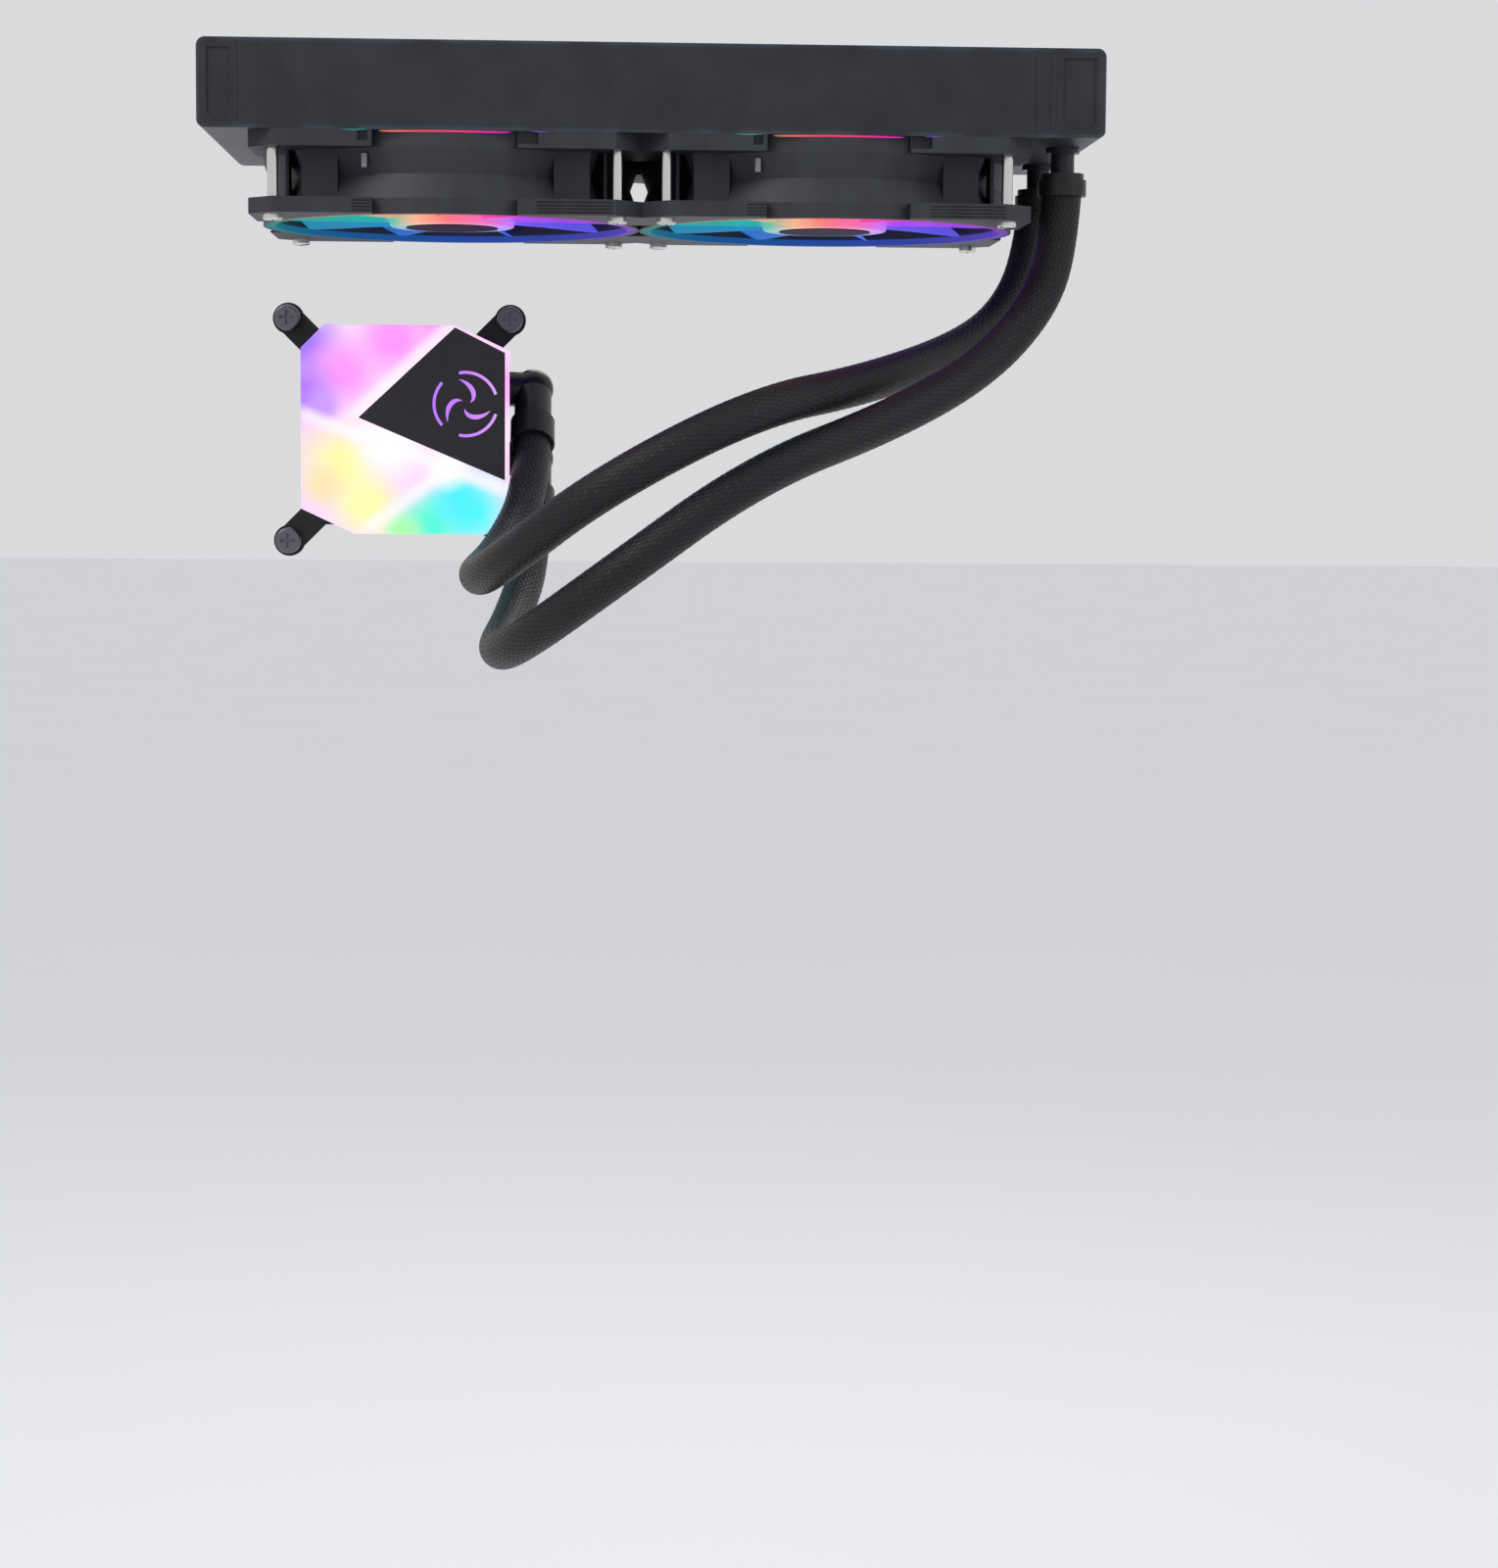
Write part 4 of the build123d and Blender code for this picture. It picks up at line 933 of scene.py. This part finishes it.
@dataclass
class Fan:
    """One lit fan: frame, rotor, light ring, motor parts and screws."""

    letter: str
    centre_x: float
    outer_side: Side
    rim_radius: float = 60.0
    seam_angle: float = 19.5
    seam_thick: float = 0.5
    seam_proud: float = 0.12
    seam_inset: float = 0.5
    seam_gap: float = 0.03
    seam_tip: float = 0.05
    seam_steps: int = 28
    slit_thick: float = 0.32
    slit_span: float = 150.0
    tab_x: float = -24.6
    tab_width: float = 1.7
    tab_top: float = -33.6
    tab_bottom: float = -37.9
    tab_front: float = -55.3
    tab_back: float = -52.0
    tab_edge: float = 0.25
    top: float = field(init=False, default=0.0)

    def build(self) -> None:
        """Dresses the fan's nodes and adds its light seams and cable tab."""
        spinning = FrostedLight(f"lit_rotor_{self.letter}", self.centre_x, 1.0, 16.0, 56.0, 0.80)
        ring = FrostedLight(f"lit_ring_{self.letter}", self.centre_x, 0.42, 56.0, 60.0, 0.8)
        finishes = {
            "frame": FAN_PLASTIC,
            "rotor": spinning,
            "light_ring": ring,
            "hub_disc": HUB_FILM,
            "magnet": FERRITE,
            "shaft": STEEL,
            "bearing": BRONZE,
            "stator": WINDINGS,
            "board": BOARD,
            "screws": ZINC,
        }
        for part, finish in finishes.items():
            dress_node(f"fan_{part}_{self.letter}", finish)
        self.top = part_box(f"fan_frame_{self.letter}")[1].z
        for side in (Side.NEAR, Side.FAR, self.outer_side):
            self.seam(side)
            self.slit("cool", side, -31.5, -23.4, (0.0, 0.42, 0.36))
            self.slit("warm", side, 26.0, 32.0, (0.16, 0.08, 0.62))
        self.tab()

    def turned(self, point: Vector, side: Side) -> Vector:
        """A point of the near side, in millimetres from the fan's axis and top, brought to a side."""
        turn = Matrix.Rotation(math.radians(90.0 * side.value), 3, "Z")
        return turn @ point * MM + Vector((self.centre_x * MM, 0.0, self.top))

    def strip(self, name: str, sections: list[list[Vector]], finish: LitInlay) -> None:
        """Adds a four-sided strip that runs through the given sections."""
        points = [point for section in sections for point in section]
        faces = []
        for step in range(len(sections) - 1):
            near, far = 4 * step, 4 * step + 4
            for corner in range(4):
                after = (corner + 1) % 4
                faces.append((near + corner, near + after, far + after, far + corner))
        last = 4 * (len(sections) - 1)
        faces += [(0, 1, 2, 3), (last, last + 1, last + 2, last + 3)]
        piece = new_piece(name, mesh_from(name, points, faces), finish)
        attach(piece, ROOT)

    def seam(self, side: Side) -> None:
        """Adds the line of light along the round rim, between the frame's top and the radiator."""
        sections = []
        for step in range(self.seam_steps + 1):
            share = 2 * step / self.seam_steps - 1
            thick = self.seam_thick * math.sqrt(max(0.0, 1 - share**4)) + self.seam_tip
            angle = math.radians(self.seam_angle * share)
            ahead = Vector((math.sin(angle), -math.cos(angle), 0.0))
            inner = ahead * (self.rim_radius - self.seam_inset)
            outer = ahead * (self.rim_radius + self.seam_proud)
            high, low = Vector((0.0, 0.0, -self.seam_gap)), Vector((0.0, 0.0, -self.seam_gap - thick))
            section = [inner + high, outer + high, outer + low, inner + low]
            sections.append([self.turned(point, side) for point in section])
        reach = self.rim_radius * math.sin(math.radians(self.seam_angle))
        ends = (self.centre_x - reach, self.centre_x + reach)
        finish = LitInlay(f"seam_light_{self.letter}", *ends, SEAM_STOPS, 0.95)
        self.strip(f"light_seam_{side.name.lower()}_{self.letter}", sections, finish)

    def slit(self, name: str, side: Side, low_x: float, high_x: float, colour: Colour) -> None:
        """Adds a short slit of light over a corner plate's edge."""
        face = -self.rim_radius
        sections = []
        for x in (low_x, (low_x + high_x) / 2, high_x):
            thick = self.slit_thick if low_x < x < high_x else self.seam_tip
            inner, outer = face + self.seam_inset, face - self.seam_proud
            high, low = -self.seam_gap, -self.seam_gap - thick
            rows = ((inner, high), (outer, high), (outer, low), (inner, low))
            sections.append([self.turned(Vector((x, y, z)), side) for y, z in rows])
        stops = ((0.0, shade(colour, 0.7)), (0.5, colour), (1.0, shade(colour, 0.7)))
        finish = LitInlay(f"slit_light_{name}", -self.slit_span, self.slit_span, stops, 0.8)
        self.strip(f"light_slit_{name}_{side.name.lower()}_{self.letter}", sections, finish)

    def tab(self) -> None:
        """Adds the small pale tab under the cable notch, on the wall's upper slope."""
        half = self.tab_width / 2
        x0, x1 = self.centre_x + self.tab_x - half, self.centre_x + self.tab_x + half
        outline = [(x0, self.tab_top), (x1, self.tab_top), (x1, self.tab_bottom), (x0, self.tab_bottom)]
        name = f"cable_tab_{self.letter}"
        mesh = prism(name, outline, self.tab_front, self.tab_back)
        piece = new_piece(name, mesh, NOTCH_PLASTIC)
        round_edges(piece, self.tab_edge)
        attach(piece, ROOT)


# ------------------------------------------------------------------ hoses
HOSE_FAR_ROUTE: tuple[Point, ...] = (
    (-0.035, 0.070, -0.116),
    (-0.035, 0.052, -0.136),
    (-0.045, 0.022, -0.156),
    (-0.053, -0.020, -0.164),
    (-0.043, -0.062, -0.158),
    (-0.012, -0.087, -0.134),
    (0.034, -0.082, -0.110),
    (0.070, -0.047, -0.102),
    (0.105, 0.000, -0.089),
    (0.122, 0.018, -0.076),
    (0.131, 0.026, -0.057),
    (0.133, 0.028, -0.037),
)
HOSE_NEAR_ROUTE: tuple[Point, ...] = (
    (-0.035, 0.070, -0.140),
    (-0.035, 0.052, -0.160),
    (-0.041, 0.020, -0.178),
    (-0.046, -0.020, -0.187),
    (-0.038, -0.062, -0.183),
    (-0.010, -0.086, -0.162),
    (0.034, -0.080, -0.130),
    (0.078, -0.054, -0.113),
    (0.108, -0.038, -0.096),
    (0.126, -0.031, -0.076),
    (0.132, -0.028, -0.057),
    (0.133, -0.028, -0.037),
)


class Lay(Enum):
    """Which way a strand of the braid runs round the hose."""

    LEFT = -1
    RIGHT = 1


@dataclass
class Hose:
    """A rubber hose in a close braid, from a swivel elbow to a radiator port."""

    name: str
    route: tuple[Point, ...]
    swivel: str
    bend_from: Point
    radius: float = 6.4
    strands: int = 24
    steps_per_strand: int = 4
    weave_depth: float = 0.22

    def build(self) -> None:
        """Builds the braided tube along the route."""
        line = self.centreline()
        length = sum((after - before).length for before, after in zip(line, line[1:]))
        piece = self.tube(line, length)
        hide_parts(self.name)
        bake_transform(piece)
        log.info("hose %s: %.3f m", self.name, length)

    def centreline(self) -> list[Vector]:
        """Points along the route's smooth spline."""
        curve = bpy.data.curves.new(f"{self.name}_line", "CURVE")
        curve.dimensions = "3D"
        curve.resolution_u = 48
        spline = curve.splines.new("NURBS")
        spline.points.add(len(self.route) - 1)
        for point, place in zip(spline.points, self.route):
            point.co = (*place, 1.0)
        spline.order_u = 3
        spline.use_endpoint_u = True
        holder = bpy.data.objects.new(f"{self.name}_line", curve)
        mesh = bpy.data.meshes.new_from_object(holder)
        line = [vertex.co.copy() for vertex in mesh.vertices]
        bpy.data.objects.remove(holder)
        bpy.data.meshes.remove(mesh)
        bpy.data.curves.remove(curve)
        return line

    def tube(self, line: list[Vector], length: float) -> bpy.types.Object:
        """The woven tube.

        Args:
            line: points along its middle.
            length: its length in metres.

        Returns:
            The piece.
        """
        around = self.strands * self.steps_per_strand
        pitch = 2 * math.pi * self.radius * MM / self.strands
        rings = int(length / pitch * self.steps_per_strand)
        points: list[Vector] = []
        ridges: list[float] = []
        lays: list[float] = []
        for centre, side, up, travelled in self.rings(line, length, rings):
            along = travelled / pitch
            for step in range(around):
                turn = step / self.steps_per_strand
                ridge, lay = self.weave(turn, along)
                angle = 2 * math.pi * step / around
                reach = (self.radius - self.weave_depth * (1 - ridge)) * MM
                points.append(centre + (side * math.cos(angle) + up * math.sin(angle)) * reach)
                ridges.append(ridge)
                lays.append(lay)
        faces = self.tube_faces(rings, around)
        mesh = mesh_from(self.name, points, faces, smooth=True)
        for title, values in (("ridge", ridges), ("lay", lays)):
            mesh.attributes.new(title, "FLOAT", "POINT").data.foreach_set("value", values)
        return new_piece(f"braided_{self.name}", mesh, SLEEVE)

    @staticmethod
    def weave(turn: float, along: float) -> tuple[float, float]:
        """The braid's height and strand position at one point.

        Args:
            turn: how many strands round the hose the point is.
            along: how many strand widths along it.

        Returns:
            Height from 0 to 1, and the place across the top strand from 0 to 1.
        """
        across = {lay: turn + lay.value * along * 0.5 for lay in Lay}
        cells = {lay: math.floor(value) for lay, value in across.items()}
        top = Lay.RIGHT if sum(cells.values()) % 2 else Lay.LEFT
        other = Lay.LEFT if top is Lay.RIGHT else Lay.RIGHT
        share = across[top] - cells[top]
        cross = across[other] - cells[other]
        height = math.sin(math.pi * share) ** 0.7 * (0.55 + 0.45 * math.sin(math.pi * cross))
        return height, share

    def rings(
        self, line: list[Vector], length: float, count: int
    ) -> list[tuple[Vector, Vector, Vector, float]]:
        """Evenly spaced stations along the line, each with a frame that doesn't twist.

        Args:
            line: points along the middle.
            length: the line's length.
            count: how many steps to make.

        Returns:
            Centre, side and up directions, and the distance travelled, for each station.
        """
        stations = []
        side = Vector((1.0, 0.0, 0.0))
        index, passed = 0, 0.0
        run = (line[1] - line[0]).length
        for step in range(count + 1):
            target = length * step / count
            while passed + run < target and index < len(line) - 2:
                passed += run
                index += 1
                run = (line[index + 1] - line[index]).length
            share = min(1.0, (target - passed) / run)
            centre = line[index].lerp(line[index + 1], share)
            ahead = self.heading(line, index, share)
            side = (side - ahead * side.dot(ahead)).normalized()
            stations.append((centre, side.copy(), ahead.cross(side), target))
        return stations

    @staticmethod
    def heading(line: list[Vector], index: int, share: float) -> Vector:
        """The line's direction, smoothed between its runs."""
        here = (line[index + 1] - line[index]).normalized()
        before = (line[index] - line[index - 1]).normalized() if index else here
        after = (line[index + 2] - line[index + 1]).normalized() if index + 2 < len(line) else here
        start, end = (before + here).normalized(), (here + after).normalized()
        return start.lerp(end, share).normalized()

    @staticmethod
    def tube_faces(rings: int, around: int) -> list[tuple[int, ...]]:
        """The tube's faces, with closed ends."""
        faces = []
        for ring in range(rings):
            base = ring * around
            for step in range(around):
                after = (step + 1) % around
                faces.append((base + step, base + after, base + around + after, base + around + step))
        faces.append(tuple(range(around)))
        faces.append(tuple(range(rings * around, (rings + 1) * around)))
        return faces


# ------------------------------------------------------------------ elbows
@dataclass
class Elbow:
    """A swivel elbow and its ferrule."""

    name: str

    def build(self) -> None:
        """Dresses the elbow's nodes."""
        dress_node(f"elbow_{self.name}", ELBOW_PLASTIC)
        dress_node(f"elbow_ferrule_{self.name}", FERRULE_PLASTIC)


# ------------------------------------------------------------------ pump block
@dataclass
class PumpBlock:
    """The lit square block: faceted face, dark panel with its mark, body, cold plate and fixings."""

    left: float = -113.2
    right: float = -42.7
    top: float = -80.0
    bottom: float = -150.6
    small_cut: float = 8.0
    large_cut_x: float = 18.0
    large_cut_z: float = 8.4
    front: float = 55.0
    edge_y: float = 55.5
    back: float = 57.95
    rim: float = 0.6
    apex: tuple[float, float] = (-94.0, -111.3)
    spur: tuple[float, float] = (-66.6, -130.9)
    spur_y: float = 54.55
    apex_y: float = 54.8
    mark_x: float = -57.5
    mark_z: float = -106.5
    mark_radius: float = 11.2
    mark_first: float = 18.0
    mark_sweep: float = 84.0
    mark_width: float = 1.0
    left_joint_z: float = -106.1
    right_joint_z: float = -134.0
    panel_margin: float = 1.4
    pocket_depth: float = 1.2
    inlay_depth: float = 0.22
    edge_rounding: float = 0.12

    def build(self) -> None:
        """Dresses the block's nodes and adds the face and its mark."""
        for node in ("block_shroud", "block_manifold"):
            dress_node(node, BLOCK_PLASTIC)
        for node in ("pump_can", "pump_impeller", "pump_divider"):
            dress_node(node, INNER_PLASTIC)
        for node in ("led_board", "pump_board"):
            dress_node(node, BOARD)
        for node in ("block_gasket", "cable_gland"):
            dress_node(node, SEAL)
        for node in ("pump_shaft", "cold_plate_screws", "captive_springs"):
            dress_node(node, STEEL)
        dress_node("pump_stator", WINDINGS)
        dress_node("pump_magnet", FERRITE)
        dress_node("cold_plate", COPPER)
        dress_node("mount_bracket", BRACKET_PAINT)
        dress_node("captive_screws", BLACK_NICKEL)
        dress_node("kite_panel", PolishedPanel("smoked_panel"))
        self.face()
        self.mark()

    def outline(self) -> dict[str, tuple[float, float]]:
        """The face's outer corners, by name."""
        return {
            "left_mid": (self.left, self.left_joint_z),
            "left_top": (self.left, self.top - self.small_cut),
            "top_left": (self.left + self.small_cut, self.top),
            "top_right": (self.right - self.large_cut_x, self.top),
            "right_top": (self.right, self.top - self.large_cut_z),
            "right_mid": (self.right, self.right_joint_z),
            "right_low": (self.right, self.bottom + self.small_cut),
            "low_right": (self.right - self.small_cut, self.bottom),
            "low_left": (self.left + self.large_cut_x, self.bottom),
            "left_low": (self.left, self.bottom + self.large_cut_z),
        }

    def kite(self) -> dict[str, tuple[float, float]]:
        """The panel pocket's corners, by name."""
        return {
            "kite_top": (self.right - self.large_cut_x - 0.4, self.top - 0.6),
            "kite_high": (self.right - self.panel_margin, self.top - self.large_cut_z - 0.6),
            "kite_low": (self.right - self.panel_margin, self.bottom + 18.2),
            "kite_apex": (self.left + 19.2, self.top - 31.3),
        }

    def face(self) -> None:
        """Builds the light spreader with its shallow facets."""
        outer = self.outline()
        middle = Vector(((self.left + self.right) / 2, 0, (self.top + self.bottom) / 2))
        shrink = 1 - self.rim / ((self.right - self.left) / 2)
        points: list[Vector] = []
        number: dict[str, int] = {}

        def put(name: str, x: float, y: float, z: float) -> None:
            """Adds one named point."""
            number[name] = len(points)
            points.append(Vector((x, y, z)) * MM)

        for name, (x, z) in outer.items():
            put(f"back_{name}", x, self.back, z)
            put(f"edge_{name}", x, self.edge_y, z)
            inner = middle + (Vector((x, 0, z)) - middle) * shrink
            put(name, inner.x, self.front, inner.z)
        for name, (x, z) in self.kite().items():
            put(name, x, self.apex_y if name == "kite_apex" else self.front, z)
            put(f"deep_{name}", x, self.front + self.pocket_depth, z)
        put("spur", self.spur[0], self.spur_y, self.spur[1])
        ring = list(outer)
        pocket = list(self.kite())
        names: list[tuple[str, ...]] = [
            ("left_mid", "kite_apex", "kite_top", "top_right", "top_left", "left_top"),
            ("kite_top", "kite_high", "right_top", "top_right"),
            ("kite_high", "kite_low", "right_mid", "right_top"),
            ("kite_apex", "spur", "right_mid", "kite_low"),
            ("kite_apex", "low_left", "spur"),
            ("spur", "low_left", "low_right", "right_low", "right_mid"),
            ("kite_apex", "left_mid", "left_low", "low_left"),
            tuple(f"back_{name}" for name in ring),
            tuple(f"deep_{name}" for name in pocket),
        ]
        for before, after in zip(ring, ring[1:] + ring[:1]):
            names.append((before, after, f"edge_{after}", f"edge_{before}"))
            names.append((f"edge_{before}", f"edge_{after}", f"back_{after}", f"back_{before}"))
        for before, after in zip(pocket, pocket[1:] + pocket[:1]):
            names.append((before, after, f"deep_{after}", f"deep_{before}"))
        faces = [tuple(number[name] for name in face) for face in names]
        piece = new_piece("lit_face", mesh_from("lit_face", points, faces), self.light())
        round_edges(piece, self.edge_rounding)
        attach(piece, ROOT)
        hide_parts("diffuser_plate")

    def light(self) -> LitFace:
        """The face's colours: violet and pink above, white along the panel, yellow and cyan below."""
        white, pink = (1.0, 0.97, 0.99), (0.93, 0.27, 0.98)
        glows = (
            Glow(-113.0, -86.0, 19.0, (0.30, 0.11, 0.98)),
            Glow(-99.0, -96.0, 17.0, pink),
            Glow(-82.0, -85.0, 17.0, (0.98, 0.27, 0.98)),
            Glow(-68.0, -80.0, 12.0, (1.0, 0.34, 0.88)),
            Glow(-113.0, -103.0, 16.0, (0.42, 0.13, 0.98)),
            Glow(-106.0, -108.0, 9.0, (0.56, 0.27, 0.99)),
            Glow(-112.0, -121.0, 13.0, (1.0, 0.66, 0.80)),
            Glow(-99.0, -127.0, 19.0, (1.0, 0.92, 0.34)),
            Glow(-91.0, -141.0, 17.0, (1.0, 0.93, 0.36)),
            Glow(-106.0, -134.0, 10.0, (1.0, 0.74, 0.40)),
            Glow(-83.0, -120.0, 17.0, white),
            Glow(-56.0, -143.0, 21.0, (0.04, 0.93, 0.98)),
            Glow(-70.0, -147.0, 17.0, (0.04, 0.92, 0.66)),
            Glow(-79.0, -150.0, 10.0, (0.36, 1.0, 0.36)),
            Glow(-60.0, -139.0, 13.0, (0.02, 0.86, 0.98)),
            Glow(-64.0, -128.0, 10.0, white),
            Glow(-43.5, -100.0, 12.0, (1.0, 0.40, 0.95)),
            Glow(-43.5, -116.0, 9.0, (1.0, 0.75, 0.97)),
        )
        apex, spur = (self.apex[0], 0.0, self.apex[1]), (self.spur[0], 0.0, self.spur[1])
        low_left = (self.left + self.large_cut_x + 4.0, 0.0, self.bottom + 1.5)
        kite_low = (self.right - self.panel_margin, 0.0, self.bottom + 15.0)
        ridges = (
            ((apex[0], 0.0, apex[2] - 4.5), kite_low),
            (spur, low_left),
            ((apex[0] - 1.0, 0.0, apex[2] + 1.0), (self.right - 19.5, 0.0, self.top)),
            ((self.left, 0.0, -110.0), (apex[0] + 2.0, 0.0, apex[2] - 7.0)),
        )
        return LitFace("face_light", (0.98, 0.66, 0.95), glows, ridges)

    def mark(self) -> None:
        """Builds the panel's plain round mark: three arcs round three curved vanes."""
        glow = LitInlay(
            "mark_light",
            self.mark_x - self.mark_radius,
            self.mark_x + self.mark_radius,
            ((0.0, (0.42, 0.14, 1.0)), (0.6, (0.55, 0.2, 1.0)), (1.0, (0.72, 0.34, 1.0))),
            1.1,
        )
        for turn in range(3):
            start = math.radians(120.0 * turn + self.mark_first)
            arc = self.band(self.mark_radius, self.mark_width, start, math.radians(self.mark_sweep))
            self.inlay(f"mark_arc_{turn + 1}", arc, glow)
            self.inlay(f"mark_vane_{turn + 1}", self.vane(start), glow)

    def band(self, radius: float, width: float, start: float, sweep: float) -> list[tuple[float, float]]:
        """An arc of even width, as an outline.

        Args:
            radius: its outer radius.
            width: its width.
            start: its first angle.
            sweep: how far it turns.

        Returns:
            The outline in X and Z.
        """
        steps = 20
        angles = [start + sweep * step / steps for step in range(steps + 1)]
        outside = [(radius * math.cos(a), radius * math.sin(a)) for a in angles]
        inside = [((radius - width) * math.cos(a), (radius - width) * math.sin(a)) for a in reversed(angles)]
        return [(self.mark_x + x, self.mark_z + z) for x, z in outside + inside]

    def vane(self, start: float) -> list[tuple[float, float]]:
        """A curved vane that tapers at both ends, as an outline in X and Z."""
        steps = 16
        front, rear = [], []
        for step in range(steps + 1):
            share = step / steps
            radius = 1.6 + 6.9 * share
            angle = start + 1.5 * share
            spread = 0.62 * math.sin(math.pi * min(1.0, share * 0.92 + 0.04)) / (1.0 + 0.6 * share)
            front.append((radius * math.cos(angle + spread / 2), radius * math.sin(angle + spread / 2)))
            rear.append((radius * math.cos(angle - spread / 2), radius * math.sin(angle - spread / 2)))
        return [(self.mark_x + x, self.mark_z + z) for x, z in front + rear[::-1]]

    def inlay(self, name: str, outline: list[tuple[float, float]], finish: LitInlay) -> None:
        """Sets one thin lit shape into the panel."""
        mesh = prism(name, outline, self.front - self.inlay_depth, self.front)
        piece = new_piece(name, mesh, finish)
        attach(piece, ROOT)


def main() -> None:
    """Builds the studio and every sub-assembly, in order."""
    logging.basicConfig(level=logging.INFO, format="%(name)s: %(message)s")
    assemblies = [
        Studio(),
        Hose("hose_far", HOSE_FAR_ROUTE, "swivel_upper", (-0.010, 0.026, -0.138)),
        Hose("hose_near", HOSE_NEAR_ROUTE, "swivel_lower", (-0.010, 0.026, -0.162)),
        Radiator(),
        Fan("a", -60.0, Side.LEFT),
        Fan("b", 60.0, Side.RIGHT),
        Elbow("upper"),
        Elbow("lower"),
        PumpBlock(),
    ]
    for assembly in assemblies:
        assembly.build()
        log.info("built %s", type(assembly).__name__)


if __name__ == "__main__":
    main()
